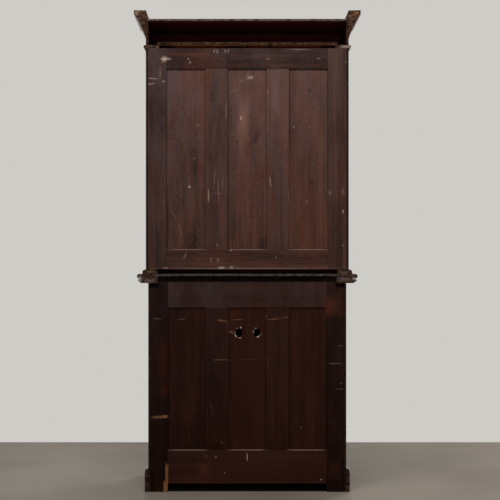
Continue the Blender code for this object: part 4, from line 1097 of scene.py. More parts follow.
def metal_material(name, bright, tarnish, roughness):
    material = bpy.data.materials.new(name)
    material.use_nodes = True
    tree = material.node_tree
    shader = tree.nodes["Principled BSDF"]
    place = tree.nodes.new("ShaderNodeTexCoord").outputs["Object"]
    stains = remap(tree, noise(tree, place, 120.0, 5.0, 0.65), 0.35, 0.70)
    wire(tree, mix(tree, stains, bright, tarnish), shader.inputs["Base Color"])
    rough = remap(tree, stains, 0.0, 1.0, roughness, roughness + TARNISH_ROUGHNESS)
    wire(tree, rough, shader.inputs["Roughness"])
    shader.inputs["Metallic"].default_value = 1.0
    fine = noise(tree, place, 900.0, 2.0)
    bump = put(tree, "ShaderNodeBump", {"Strength": 0.15, "Distance": 0.2 * MM, "Height": fine})
    wire(tree, bump.outputs[0], shader.inputs["Normal"])
    return material


def glass_material():
    material = bpy.data.materials.new("old window glass")
    material.use_nodes = True
    tree = material.node_tree
    shader = tree.nodes["Principled BSDF"]
    place = tree.nodes.new("ShaderNodeTexCoord").outputs["Object"]
    tint = mix(tree, noise(tree, place, 3.0, 2.0), *GLASS_TINTS)
    wire(tree, tint, shader.inputs["Base Color"])
    smears = remap(tree, noise(tree, place, 9.0, 5.0, 0.65), 0.45, 0.80, 0.0, 0.012)
    wire(tree, smears, shader.inputs["Roughness"])
    shader.inputs["Transmission Weight"].default_value = 1.0
    shader.inputs["IOR"].default_value = GLASS_BENDING
    wave = noise(tree, vector(tree, "MULTIPLY", place, WAVE_STRETCH), 1.0, 1.0)
    bump = put(tree, "ShaderNodeBump", {"Strength": 0.12, "Distance": 4 * MM, "Height": wave})
    wire(tree, bump.outputs[0], shader.inputs["Normal"])
    return material


BRASS = Finish(metal_material("handled brass", srgb(196, 158, 88), srgb(104, 74, 40), 0.26), "brass")
STEEL = Finish(metal_material("dark iron", srgb(112, 108, 104), srgb(62, 48, 40), 0.38), "lock_steel")
GLASS = Finish(glass_material(), "window_glass")
print("materials:", len(bpy.data.materials))

# %% [markdown]
# ## From a solid to a finished piece
#
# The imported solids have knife-sharp corners, which no worked wood has. A piece is made from a copy of
# its solid in three steps. First a box picks out the board that the piece is, because a glued frame is
# one solid but was made of several boards. A Boolean modifier does that, because it copes with grooves
# and holes.

# %% Copy and carve meshes
MERGE = 0.01 * MM


def copy_of(node):
    bm = bmesh.new()
    bm.from_mesh(frame["nodes"][node].data)
    bmesh.ops.remove_doubles(bm, verts=bm.verts[:], dist=MERGE)
    return bm


def box_mesh(low, high):
    bm = bmesh.new()
    low, high = Vector(low), Vector(high)
    size = high - low
    stretch = Matrix.Diagonal((size.x, size.y, size.z, 1.0))
    bmesh.ops.create_cube(bm, size=1.0, matrix=Matrix.Translation((low + high) / 2) @ stretch)
    return bm


def carve(bm, tool, operation):
    """Cut one closed mesh with another and give the result back as a fresh bmesh."""
    pair = []
    for label, source in (("carved", bm), ("tool", tool)):
        mesh = bpy.data.meshes.new(label)
        source.to_mesh(mesh)
        source.free()
        obj = bpy.data.objects.new(label, mesh)
        bpy.context.scene.collection.objects.link(obj)
        pair.append(obj)
    step = pair[0].modifiers.new("carve", "BOOLEAN")
    step.operation = operation
    step.object = pair[1]
    depsgraph = bpy.context.evaluated_depsgraph_get()
    mesh = bpy.data.meshes.new_from_object(pair[0].evaluated_get(depsgraph))
    result = bmesh.new()
    result.from_mesh(mesh)
    for obj in pair:
        bpy.data.objects.remove(obj, do_unlink=True)
    return result


# %% [markdown]
# Then the outer corners are rounded by a hair, and a narrow band round each wide face is set apart, so
# that wear can fade from the corner inwards.

# %% Soften the corners
CORNER_ROUND = 0.8 * MM
WEAR_BAND = 2.5 * MM
WIDE_IN_BANDS = 3
SHARP = math.radians(25)
ROUND_SEGMENTS = 2


def wide_enough(face, band):
    """A long face of some width has an area of about half its perimeter times that width."""
    return 2 * face.calc_area() / face.calc_perimeter() > WIDE_IN_BANDS * band


def is_sharp(edge):
    return edge.is_manifold and edge.is_convex and edge.calc_face_angle() > SHARP


def soften(bm, radius=CORNER_ROUND, band=WEAR_BAND):
    """Round the outer corners, set a band apart on wide faces, and mark the corners for wear."""
    bmesh.ops.remove_doubles(bm, verts=bm.verts[:], dist=MERGE)
    bmesh.ops.dissolve_limit(bm, angle_limit=math.radians(1), verts=bm.verts[:], edges=bm.edges[:])
    bmesh.ops.recalc_face_normals(bm, faces=bm.faces[:])
    sharp = [edge for edge in bm.edges if is_sharp(edge)]
    made = bmesh.ops.bevel(
        bm,
        geom=sharp,
        offset=radius,
        segments=ROUND_SEGMENTS,
        profile=0.5,
        affect="EDGES",
        clamp_overlap=True,
    )
    rounded = set(made["faces"])
    wide = [face for face in bm.faces if face not in rounded and wide_enough(face, band)]
    bmesh.ops.inset_region(bm, faces=wide, thickness=band, use_even_offset=True, use_boundary=True)
    edge_layer = bm.verts.layers.float.new("edge")
    for face in rounded:
        for vert in face.verts:
            vert[edge_layer] = 1.0
    return bm


# %% [markdown]
# Last, the attributes for the shaders are written. A piece's name seeds the chance that picks its spot
# in the log, so every board differs and yet comes out the same each time.

# %% Turn a bmesh into a piece that rides on the model
AXES = {"X": (0, 1, 2), "Y": (1, 0, 2), "Z": (2, 0, 1)}
LOG_OFFSET = (0.03, 0.12)
LOG_LENGTH = 9
made_pieces = []


def grain_places(places, axis, name):
    """Coordinates along and across the fibres, from a spot in the log that the piece's name picks."""
    chance = random.Random(name)
    along, first, second = AXES[axis]
    grain = places[:, (along, first, second)]
    down_the_log = chance.uniform(-LOG_LENGTH, LOG_LENGTH)
    aside = chance.choice((-1, 1)) * chance.uniform(*LOG_OFFSET)
    spot = (down_the_log, aside, chance.uniform(*LOG_OFFSET))
    middle = places.mean(axis=0)[[along, first, second]]
    return grain - np.array((0, middle[1], middle[2])) + np.array(spot)


def write_attribute(mesh, name, kind, field, values):
    attribute = mesh.attributes.get(name) or mesh.attributes.new(name, kind, "POINT")
    attribute.data.foreach_set(field, np.ascontiguousarray(values, dtype=np.float32).ravel())


def rising(places, pair):
    """A value for each point that runs from the first of a pair at the foot to the second at the head."""
    heights = places[:, 2]
    spread = max(float(heights.max() - heights.min()), MM)
    return pair[0] + (pair[1] - pair[0]) * (heights - heights.min()) / spread


def add_piece(name, bm, finish, nodes, axis="Z", tone=(0, 0), haze=(0, 0), body=None, smooth=40):
    mesh = bpy.data.meshes.new(name)
    bm.to_mesh(mesh)
    bm.free()
    places = np.zeros(len(mesh.vertices) * 3, np.float32)
    mesh.vertices.foreach_get("co", places)
    places = places.reshape(-1, 3)
    write_attribute(mesh, "grain", "FLOAT_VECTOR", "vector", grain_places(places, axis, name))
    write_attribute(mesh, "tone", "FLOAT", "value", rising(places, tone))
    write_attribute(mesh, "haze", "FLOAT", "value", rising(places, haze))
    mesh.shade_smooth()
    mesh.set_sharp_from_angle(angle=math.radians(smooth))
    mesh.materials.append(finish.material)
    obj = bpy.data.objects.new(name, mesh)
    bpy.context.scene.collection.objects.link(obj)
    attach(obj, body or frame["nodes"][nodes[0]]["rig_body"])
    if nodes:
        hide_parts(*nodes)
    made_pieces.append(obj)
    return obj


# %% [markdown]
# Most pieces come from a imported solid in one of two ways: one board is cut out of a glued frame, or the
# whole solid is dressed as it is.

# %% Make a piece from part of a node or from all of it


def member(name, node, spans, finish, axis, tone=(0, 0), haze=(0, 0)):
    """One board out of a glued frame: the part of the node inside (x, x, z, z)."""
    low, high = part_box(node)
    left, right, foot, head = spans
    room = WEAR_BAND
    picked = box_mesh((left, low.y - room, foot), (right, high.y + room, head))
    board = soften(carve(copy_of(node), picked, "INTERSECT"))
    return add_piece(name, board, finish, [node], axis, tone, haze)


def softened(node, finish, axis="Z", tone=0.0, radius=CORNER_ROUND):
    """A piece that stands for its whole node."""
    return add_piece(f"dressed_{node}", soften(copy_of(node), radius), finish, [node], axis, (tone, tone))


# %% [markdown]
# ## The two panelled backs
#
# Each back is a frame of two stiles, two rails and two muntins, tenoned and glued, with three thin
# boards held loose in grooves so that they can shrink. On the real thing every member is a board of
# its own with its own grain, upright in stiles and muntins and level in rails, and a hairline shows at
# each joint. So each frame is picked apart into its members here, a hair apart from each other.

# %% Find the members of a back
TONGUE = 8 * MM
JOINT = 0.12 * MM
PLACES = ("left", "middle", "right")
Opening = namedtuple("Opening", "left right foot head")


def opening_round(node, hidden):
    """The opening in which a panel or pane shows, whose hidden edge lies in a groove or rebate."""
    low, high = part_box(node)
    return Opening(low.x + hidden, high.x - hidden, low.z + hidden, high.z - hidden)


def back_members(section):
    low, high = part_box(f"{section}_back_frame")
    first, middle, last = [opening_round(f"{section}_back_{place}_panel", TONGUE) for place in PLACES]
    out = WEAR_BAND
    inner = (first.left + JOINT, last.right - JOINT)
    upright = (first.foot + JOINT, first.head - JOINT)
    return {
        "left_stile": ("Z", (low.x - out, first.left - JOINT, low.z - out, high.z + out)),
        "right_stile": ("Z", (last.right + JOINT, high.x + out, low.z - out, high.z + out)),
        "top_rail": ("X", (*inner, first.head, high.z + out)),
        "bottom_rail": ("X", (*inner, low.z - out, first.foot)),
        "left_muntin": ("Z", (first.right, middle.left, *upright)),
        "right_muntin": ("Z", (middle.right, last.left, *upright)),
    }


# %% [markdown]
# Light and dirt have not treated the members alike. A look says how pale a member is at its foot and at
# its head, and how much grey bloom it has at each.

# %% Say how the members look
Look = namedtuple("Look", "tone haze")
BACK_LOOKS = {
    "upper": {
        "right_stile": Look((-0.28, -0.44), (0.15, 0.32)),
        "left_stile": Look((-0.12, -0.26), (0.10, 0.25)),
        "top_rail": Look((-0.50, -0.50), (0.14, 0.20)),
        "bottom_rail": Look((-0.18, -0.18), (0.08, 0.08)),
        "right_muntin": Look((-0.21, -0.20), (0.15, 0.35)),
        "left_muntin": Look((-0.04, 0.04), (0.20, 0.45)),
    },
    "lower": {
        "right_stile": Look((-0.44, -0.40), (0.0, 0.14)),
        "left_stile": Look((-0.30, -0.36), (0.0, 0.12)),
        "top_rail": Look((-0.06, -0.06), (0.34, 0.44)),
        "bottom_rail": Look((0.10, 0.10), (0.0, 0.05)),
        "right_muntin": Look((-0.23, -0.16), (0.0, 0.10)),
        "left_muntin": Look((-0.08, 0.0), (0.0, 0.12)),
    },
}


print("members with looks:", sum(len(looks) for looks in BACK_LOOKS.values()))

# %% [markdown]
# Each mark adds some twenty nodes to a material, and a renderer takes only so many: with about seventy
# marks the wood turned black. So the frame and the panels of each back have a wood of their own, which
# has only the marks that can be seen on it. A mark that crosses a joint is on both.

# %% Share the marks out between frame and panels
MARK_EDGE = 1.05
RAGGED_SPREAD = 0.5


def mark_reach(one):
    """How far a mark spreads across and up, with its turn and its ragged edge."""
    turn = math.radians(one.turn)
    spread = MARK_EDGE + RAGGED_SPREAD * one.style.ragged
    across = abs(one.half_x * math.cos(turn)) + abs(one.half_z * math.sin(turn))
    up = abs(one.half_x * math.sin(turn)) + abs(one.half_z * math.cos(turn))
    return across * spread, up * spread


def within(one, opening):
    """Whether a mark lies wholly on the panel in an opening."""
    across, up = mark_reach(one)
    level = opening.left < one.x - across and one.x + across < opening.right
    return level and opening.foot < one.z - up and one.z + up < opening.head


def crosses(one, opening):
    """Whether any of a mark can be seen in an opening."""
    across, up = mark_reach(one)
    beside = one.x + across < opening.left or one.x - across > opening.right
    return not (beside or one.z + up < opening.foot or one.z - up > opening.head)


def back_woods(section, recipe, marks):
    """A wood for the frame and one for the panels."""
    openings = [opening_round(f"{section}_back_{place}_panel", TONGUE) for place in PLACES]
    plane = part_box(f"{section}_back_frame")[1].y
    on_frame = [one for one in marks if not any(within(one, opening) for opening in openings)]
    on_panels = [one for one in marks if any(crosses(one, opening) for opening in openings)]
    woods = []
    for part, chosen in (("frame", on_frame), ("panels", on_panels)):
        print(section, part, "marks:", len(chosen))
        woods.append(wood_finish("stained_back", f"stained {section} {part}", recipe, chosen, plane))
    return woods


UPPER_FRAME_WOOD, UPPER_PANEL_WOOD = back_woods("upper", UPPER_BACK_RECIPE, UPPER_MARKS)
LOWER_FRAME_WOOD, LOWER_PANEL_WOOD = back_woods("lower", LOWER_BACK_RECIPE, LOWER_MARKS)


# %% Pick the backs apart


def make_back(section, finish):
    for name, (axis, spans) in back_members(section).items():
        look = BACK_LOOKS[section][name]
        member(f"{section}_back_{name}", f"{section}_back_frame", spans, finish, axis, look.tone, look.haze)


make_back("upper", UPPER_FRAME_WOOD)
make_back("lower", LOWER_FRAME_WOOD)
print("back members:", len(made_pieces))

# %% [markdown]
# The middle panel below has two rough holes that someone knocked through for cables. A cutter whose
# outline wanders, made of a few waves of chance size, breaks the hole's edge.

# %% Shape a rough hole's cutter
HOLE_HEIGHT = 0.788
HOLE_POINTS = 56
WAVE_ORDERS = (2, 3, 5, 9, 14)
WAVE_SIZE = (0.04, 0.13)
HOLE_GROWTH = (0.92, 1.05)
# Each hole: its name, its place across, half its width and half its height
HOLES = (("left", -0.048, 17.5 * MM, 20 * MM), ("right", 0.041, 18 * MM, 22.5 * MM))


def ragged_tool(name, x, z, half_width, half_height, near, far):
    """A closed prism along Y whose outline wanders, a little wider where it comes out."""
    chance = random.Random(name)
    waves = [(chance.uniform(*WAVE_SIZE), order, chance.uniform(0, math.tau)) for order in WAVE_ORDERS]
    bm = bmesh.new()
    rims = []
    for y, grow in zip((near, far), HOLE_GROWTH):
        rim = []
        for step in range(HOLE_POINTS):
            angle = math.tau * step / HOLE_POINTS
            ripples = [size / order**0.5 * math.sin(order * angle + turn) for size, order, turn in waves]
            reach = grow + sum(ripples)
            across = reach * half_width * math.cos(angle)
            up = reach * half_height * math.sin(angle)
            rim.append(bm.verts.new((x + across, y, z + up)))
        rims.append(rim)
    for step in range(HOLE_POINTS):
        after = (step + 1) % HOLE_POINTS
        bm.faces.new((rims[0][step], rims[0][after], rims[1][after], rims[1][step]))
    bm.faces.new(rims[0])
    bm.faces.new(rims[1])
    bmesh.ops.recalc_face_normals(bm, faces=bm.faces[:])
    return bm


# %% [markdown]
# The panels are thin boards. Their edges lie in grooves, and dirt with painted shade darkens a panel where
# it comes out of its groove. An attribute is only as fine as the mesh that carries it, so the faces are cut
# where it has to change: in bands round the panel, and in a small cell round each hole, where bare wood
# shows.

# %% Band the panels and break the holes
# Width of the band along a panel's edge that gets dirt and painted shade
GRIME_AND_SHADE_BAND = 7 * MM
PANEL_ROUND = 0.5 * MM
RIM_CELL = 1.32


def soften_panel(bm):
    """Two bands inside each wide face: one goes into the groove, and dirt with painted shade darkens the
    next.
    """
    soften(bm, PANEL_ROUND, TONGUE - PANEL_ROUND)
    edge, grime_and_shade = bm.verts.layers.float["edge"], bm.verts.layers.float.new("grime_and_shade")
    wide = [face for face in bm.faces if wide_enough(face, TONGUE)]
    bmesh.ops.inset_region(bm, faces=wide, thickness=GRIME_AND_SHADE_BAND, use_even_offset=True)
    inner = {vert for face in wide for vert in face.verts}
    for vert in bm.verts:
        vert[edge] = 0.0
        vert[grime_and_shade] = 0.0 if vert in inner else 1.0
    return bm


def slice_panel(bm, axis, value):
    """Cut the faces along a plane, so that a hole's rim can be marked without marking the whole panel."""
    spot, normal = Vector(), Vector()
    spot[axis], normal[axis] = value, 1.0
    bmesh.ops.bisect_plane(bm, geom=bm.verts[:] + bm.edges[:] + bm.faces[:], plane_co=spot, plane_no=normal)


def break_hole(bm, name, x, half_width, half_height, near, far):
    for side in (-RIM_CELL, RIM_CELL):
        slice_panel(bm, 0, x + side * half_width)
        slice_panel(bm, 2, HOLE_HEIGHT + side * half_height)
    tool = ragged_tool(name, x, HOLE_HEIGHT, half_width, half_height, near, far)
    bm = carve(bm, tool, "DIFFERENCE")
    edge = bm.verts.layers.float["edge"]
    for vert in bm.verts:
        reach = math.hypot((vert.co.x - x) / half_width, (vert.co.z - HOLE_HEIGHT) / half_height)
        if reach < RIM_CELL:
            vert[edge] = 1.0
    return bm


# %% [markdown]
# The upper panels are darker at the foot than at the head. In both backs the panel that is on the left
# when seen from behind is the darkest.

# %% Make the back panels
PANEL_LOOKS = {
    "upper": (
        Look((0.0, 0.16), (0.05, 0.35)),
        Look((-0.18, 0.08), (0.10, 0.40)),
        Look((-0.26, 0.04), (0.10, 0.45)),
    ),
    "lower": (
        Look((-0.04, 0.10), (0.0, 0.0)),
        Look((0.0, 0.0), (0.0, 0.0)),
        Look((-0.20, -0.10), (0.0, 0.05)),
    ),
}


def make_back_panels(section, finish):
    for place, look in zip(PLACES, PANEL_LOOKS[section]):
        node = f"{section}_back_{place}_panel"
        low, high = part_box(node)
        bm = soften_panel(box_mesh(low, high))
        for hole in HOLES if node == "lower_back_middle_panel" else ():
            bm = break_hole(bm, *hole, low.y - TONGUE, high.y + TONGUE)
        add_piece(f"dressed_{node}", bm, finish, [node], "Z", look.tone, look.haze)


make_back_panels("upper", UPPER_PANEL_WOOD)
make_back_panels("lower", LOWER_PANEL_WOOD)
print("back pieces:", len(made_pieces))

# %% [markdown]
# ## Mouldings that run round three sides
#
# Plinth, waist, base, necking and crown all run along one side, across the front and back along the
# other side, with mitres at the front corners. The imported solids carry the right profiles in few
# steps. Here the same profiles are drawn with rounder curves and eased corners, and carried along each
# leg, so each leg is a length of wood of its own whose grain runs along it.

# %% Draw profiles
ARC_STEPS = 12
EASE = 1.0 * MM
EASED_WEAR = (0.3, 1.0, 0.3)
EASED_PULL = 0.45


def arc(middle, radii, start, stop):
    """Points of a round stretch of a profile, from one angle in degrees to another."""
    points = []
    for step in range(ARC_STEPS + 1):
        angle = math.radians(start + (stop - start) * step / ARC_STEPS)
        points.append((middle[0] + radii[0] * math.cos(angle), middle[1] + radii[1] * math.sin(angle)))
    return points


def eased(profile, radius=EASE):
    """The profile with each sharp corner cut back twice, and a wear value for each point."""
    points, wear = [], []
    count = len(profile)
    for index, here in enumerate(profile):
        here = Vector(here)
        before = Vector(profile[index - 1]) - here
        after = Vector(profile[(index + 1) % count]) - here
        turn = math.pi - before.angle(after)
        if turn < SHARP:
            points.append(here)
            wear.append(0.0)
            continue
        back = min(radius, before.length * 0.4)
        ahead = min(radius, after.length * 0.4)
        start, end = here + before.normalized() * back, here + after.normalized() * ahead
        middle = here * EASED_PULL + (start + end) * (1 - EASED_PULL) / 2
        points += [start, middle, end]
        wear += EASED_WEAR
    return points, wear


# %% [markdown]
# The sawn ends of the mouldings have lost splinters. There the outline gets more points, chance pushes
# them in, and the damage fades out along the first centimetres of the leg.

# %% Fray a sawn end
SEAM = 0.3 * MM
FRAY_STEP = 5 * MM
FRAY_HALVED = 2.5 * MM
FRAY_LENGTH = 16 * MM


def divided(points, wear):
    """The same outline with points no further apart than a splinter is wide."""
    fine_points, fine_wear = [], []
    for index, here in enumerate(points):
        after = Vector(points[(index + 1) % len(points)])
        steps = max(1, math.ceil((after - Vector(here)).length / FRAY_STEP))
        for step in range(steps):
            fine_points.append(Vector(here).lerp(after, step / steps))
            fine_wear.append(wear[index] if step == 0 else 0.0)
    return fine_points, fine_wear


def splintered(points, deep, chance):
    """The outline with its outer points pushed in by chance, as a sawn end loses its corners."""
    middle = sum(points, Vector((0, 0))) / len(points)
    pushed = []
    for point in points:
        inward = (middle - point).normalized() * deep * chance.random() ** 2
        pushed.append(point + inward if point.x > SEAM else point)
    return pushed


def stations(start, end, points, fray, name):
    """The cuts along a leg: a side, a mitre, a depth and an outline, with two more at a frayed end."""
    cuts = [(*start, points), (*end, points)]
    if not fray:
        return cuts
    chance = random.Random(name)
    frayed = []
    for side, mitre, y, outline in cuts:
        if mitre:
            frayed.append([(side, mitre, y, outline)])
            continue
        frayed.append(
            [
                (side, 0, y, splintered(outline, fray, chance)),
                (side, 0, y - FRAY_HALVED, splintered(outline, fray / 2, chance)),
                (side, 0, y - FRAY_LENGTH, outline),
            ]
        )
    return frayed[0] + frayed[1][::-1]


# %% [markdown]
# A leg is lofted: the same outline is set up at both ends, each point slides along by as much as it
# stands out where the end is a mitre, and faces join the two. A curve with a bevel object could do it
# too, but here each corner's wear and each end's fraying are in hand.

# %% Carry a profile along a leg


def carry_leg(profile, half_width, start, end, fray, name):
    """Loft an eased profile between two stations, each a side, a mitre and a depth."""
    points, wear = eased(profile)
    if fray:
        points, wear = divided(points, wear)
    bm = bmesh.new()
    layer = bm.verts.layers.float.new("edge")
    rings = []
    for side, mitre, y, outline in stations(start, end, points, fray, name):
        ring = []
        for (out, z), worn in zip(outline, wear):
            vert = bm.verts.new((side * (half_width + out), y - mitre * out, z))
            vert[layer] = worn
            ring.append(vert)
        rings.append(ring)
    for ring, following in zip(rings, rings[1:]):
        for index in range(len(points)):
            after = (index + 1) % len(points)
            bm.faces.new((ring[index], ring[after], following[after], following[index]))
    bm.faces.new(rings[0])
    bm.faces.new(rings[-1])
    bmesh.ops.recalc_face_normals(bm, faces=bm.faces[:])
    return bm


def three_legs(node, profile, half_width, front, back, finish, tone=0.0, fray=0.0):
    corners = ((-1, 0, back), (-1, 1, front), (1, 1, front), (1, 0, back))
    for leg, axis, start, end in zip(("left", "front", "right"), ("Y", "X", "Y"), corners, corners[1:]):
        bm = carry_leg(profile, half_width, start, end, 0.0 if leg == "front" else fray, f"{node} {leg}")
        add_piece(f"{node}_{leg}_leg", bm, finish, [node], axis, (tone, tone), smooth=50)


# %% [markdown]
# Every moulding stands against the outside of a case, so the cases are measured first.

# %% Measure the two cases
LOWER_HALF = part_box("lower_right_side")[1].x
UPPER_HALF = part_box("upper_right_side")[1].x
LOWER_FRONT, LOWER_BACK_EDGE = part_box("lower_right_side")[0].y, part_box("lower_right_side")[1].y
UPPER_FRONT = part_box("upper_right_side")[0].y
print("half widths:", round(LOWER_HALF, 4), round(UPPER_HALF, 4))

# %% [markdown]
# The plinth is a plain board with a quarter round on its top edge. It hides the cupboard's feet.

# %% Make the plinth
PLINTH_MOULD_HEIGHT = 22 * MM
PLINTH_TOP_WIDTH = 4 * MM


def make_plinth():
    low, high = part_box("plinth")
    thick = high.x - LOWER_HALF
    shoulder = high.z - PLINTH_MOULD_HEIGHT
    profile = [(SEAM, low.z), (thick, low.z)]
    profile += arc((PLINTH_TOP_WIDTH, shoulder), (thick - PLINTH_TOP_WIDTH, PLINTH_MOULD_HEIGHT), 0, 90)
    profile += [(SEAM, high.z)]
    three_legs("plinth", profile, LOWER_HALF, LOWER_FRONT, LOWER_BACK_EDGE, POLISHED)


make_plinth()

# %% [markdown]
# The waist is a frame of wide boards with a double moulding on its edge: a small round below, a quirk,
# and a thumb above. From behind, the sawn ends of its two side members show that outline.

# %% Make the waist
WAIST_MEMBER_WIDTH = 104 * MM
WAIST_SEAT = 10 * MM
WAIST_QUIRK = 10 * MM
WAIST_FOOT_SETBACK = 17 * MM
WAIST_TOP_SETBACK = 5 * MM
WAIST_FRAY = 5 * MM


def make_waist():
    low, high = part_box("waist_frame")
    overhang = high.x - LOWER_HALF
    inner = overhang - WAIST_MEMBER_WIDTH
    quirk = (low.z + high.z) / 2
    lobe_foot = low.z + (quirk - low.z) / 4
    lobe_middle = (lobe_foot + quirk) / 2
    thumb_middle = (quirk + high.z) / 2
    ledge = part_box("waist_dust_board")[0].z - SEAM
    profile = [(inner, low.z), (overhang - WAIST_FOOT_SETBACK, low.z)]
    profile += arc(
        (overhang - WAIST_FOOT_SETBACK, lobe_middle),
        (WAIST_FOOT_SETBACK - WAIST_TOP_SETBACK, quirk - lobe_middle),
        -90,
        75,
    )
    profile += [(overhang - WAIST_QUIRK, quirk)]
    profile += arc((overhang - WAIST_QUIRK, thumb_middle), (WAIST_QUIRK, high.z - thumb_middle), -60, 60)
    seat = inner + WAIST_SEAT
    profile += [(overhang - WAIST_TOP_SETBACK, high.z), (seat, high.z), (seat, ledge), (inner, ledge)]
    three_legs("waist_frame", profile, LOWER_HALF, LOWER_FRONT, BACK_PLANE, POLISHED, 0.05, WAIST_FRAY)


make_waist()

# %% [markdown]
# The glazed cabinet stands on a frame of its own, square below and rounded above, and wears a necking
# at its head whose nose hides the joint under the cornice.

# %% Make the base frame and the necking
BASE_MEMBER_WIDTH = 73 * MM
BASE_SQUARE_HEIGHT = 8 * MM
BASE_FRAY = 3 * MM
NECKING_MEMBER_WIDTH = 77 * MM
NECKING_DROP = 8 * MM
NECKING_DROP_WIDTH = 3 * MM


def make_base_frame():
    low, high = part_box("upper_base_frame")
    overhang = high.x - UPPER_HALF
    shoulder = low.z + BASE_SQUARE_HEIGHT
    profile = [(overhang - BASE_MEMBER_WIDTH, low.z), (overhang, low.z)]
    profile += arc((0, shoulder), (overhang, high.z - shoulder), 0, 90)
    profile += [(overhang - BASE_MEMBER_WIDTH, high.z)]
    three_legs("upper_base_frame", profile, UPPER_HALF, UPPER_FRONT, BACK_PLANE, POLISHED, 0.0, BASE_FRAY)


def make_necking():
    low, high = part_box("necking_frame")
    overhang = high.x - UPPER_HALF
    foot = low.z + NECKING_DROP
    nose = (high.z - foot) / 2
    hollow = overhang - NECKING_DROP_WIDTH
    profile = [(overhang - NECKING_MEMBER_WIDTH, foot), (SEAM, foot), (SEAM, low.z)]
    profile += arc((overhang, low.z), (-hollow, NECKING_DROP), 0, 75)
    profile += arc((overhang - nose, foot + nose), (nose, nose), -75, 90)
    profile += [(overhang - NECKING_MEMBER_WIDTH, high.z)]
    three_legs("necking_frame", profile, UPPER_HALF, UPPER_FRONT, BACK_PLANE, POLISHED, 0.12)


make_base_frame()
make_necking()
print("pieces with the mouldings:", len(made_pieces))

# %% [markdown]
# ## The cornice
#
# The cornice is a box without a back. Three frieze boards stand on the necking, a dust board closes it
# below and a thin board above, and the crown is a splayed moulding planted on the frieze. From behind
# the crown's two ends stand out like horns, with end grain.

# %% Make the crown and the frieze
FRIEZE_THICKNESS = 11 * MM
CROWN_FILLET_HEIGHT = 21 * MM
CROWN_FILLET_STEP = 4 * MM
CROWN_FOOT_WIDTH = 1.5 * MM
CROWN_HOOK = 7.6 * MM
CROWN_BEND = 1.18
CROWN_FRAY = 4 * MM


def make_crown():
    low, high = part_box("crown_moulding")
    overhang = high.x - UPPER_HALF
    head = high.z - CROWN_FILLET_HEIGHT
    widest = overhang - CROWN_FILLET_STEP
    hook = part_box("cornice_top_board")[1].z + SEAM
    profile = [(0, high.z), (overhang, high.z), (overhang, head)]
    for step in range(ARC_STEPS + 1):
        rise = 1 - step / ARC_STEPS
        out = CROWN_FOOT_WIDTH + (widest - CROWN_FOOT_WIDTH) * rise**CROWN_BEND
        profile.append((out, low.z + (head - low.z) * rise))
    profile += [(SEAM, low.z), (SEAM, hook), (-CROWN_HOOK, hook)]
    three_legs("crown_moulding", profile, UPPER_HALF, UPPER_FRONT, BACK_PLANE, POLISHED, 0.1, CROWN_FRAY)


def make_frieze():
    low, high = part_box("cornice_frieze")
    profile = [(-FRIEZE_THICKNESS, low.z), (0, low.z), (0, high.z), (-FRIEZE_THICKNESS, high.z)]
    three_legs("cornice_frieze", profile, UPPER_HALF, UPPER_FRONT, BACK_PLANE, CORNICE_WOOD)


make_crown()
make_frieze()

# %% [markdown]
# The thin top board keeps dust out, and from behind only its rear edge shows. The dust board is made of
# two short lengths, as offcuts would be used where nobody looks.

# %% Make the cornice's boards
BOARD_BUTT = 2 * MM
BUTT_GAP = 1.2 * MM
DUST_BOARD_ROUND = 1.2 * MM


def make_dust_board():
    """The cornice's dust board is two lengths that butt near the middle."""
    low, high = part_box("cornice_dust_board")
    lengths = {"left": (low.x, BOARD_BUTT - BUTT_GAP), "right": (BOARD_BUTT + BUTT_GAP, high.x)}
    for name, (left, right) in lengths.items():
        bm = soften(box_mesh((left, low.y, low.z), (right, high.y, high.z)), DUST_BOARD_ROUND)
        add_piece(f"dust_board_{name}_length", bm, CORNICE_PINE, ["cornice_dust_board"], "X")


make_dust_board()
softened("cornice_top_board", CORNICE_TOP_WOOD, "X", 0.05)
print("pieces with the cornice:", len(made_pieces))

# %% [markdown]
# The board let into the waist shows only in front of the glazed cabinet. As on much old work it is two
# boards glued edge to edge: polished show wood in front, and cheap pine behind, where nobody looks.

# %% Make the waist's board
SHOW_WOOD_REACH = 25 * MM
THIN_BOARD_ROUND = 0.4 * MM


def make_waist_board():
    low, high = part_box("waist_dust_board")
    joint = UPPER_FRONT + SHOW_WOOD_REACH
    for name, near, far, finish in (
        ("front", low.y, joint - JOINT, POLISHED),
        ("rear", joint + JOINT, high.y, DUSTY_PINE),
    ):
        bm = soften(box_mesh((low.x, near, low.z), (high.x, far, high.z)), THIN_BOARD_ROUND)
        add_piece(f"waist_board_{name}", bm, finish, ["waist_dust_board"], "X", (0.02, 0.02))


make_waist_board()
print("pieces with the waist:", len(made_pieces))

# %% [markdown]
# ## Sides, boards and shelves
#
# The cases' boards keep the shape of their solids, with corners rounded by a hair. Shelves slide into
# stopped housings in the sides and are glued there.

# %% Dress the boards
for section in ("lower", "upper"):
    for hand in ("left", "right"):
        softened(f"{section}_{hand}_side", SIDE_WOOD, "Z", -0.04)
    softened(f"{section}_bottom_board", PINE, "X")
softened("upper_top_board", PINE, "X")
for node in sorted(frame["nodes"]):
    if "_shelf_" in node:
        softened(node, POLISHED, "X", 0.03, THIN_BOARD_ROUND)
print("pieces so far:", len(made_pieces))

# %% [markdown]
# ## The doors
#
# A door is a frame of two stiles and two rails. The upper ones hold a pane that lies against the front
# lip, with a mitred bead behind it. The lower ones hold a raised and fielded panel in a groove.

# %% Pick the door frames apart
HANDS = ("left", "right")


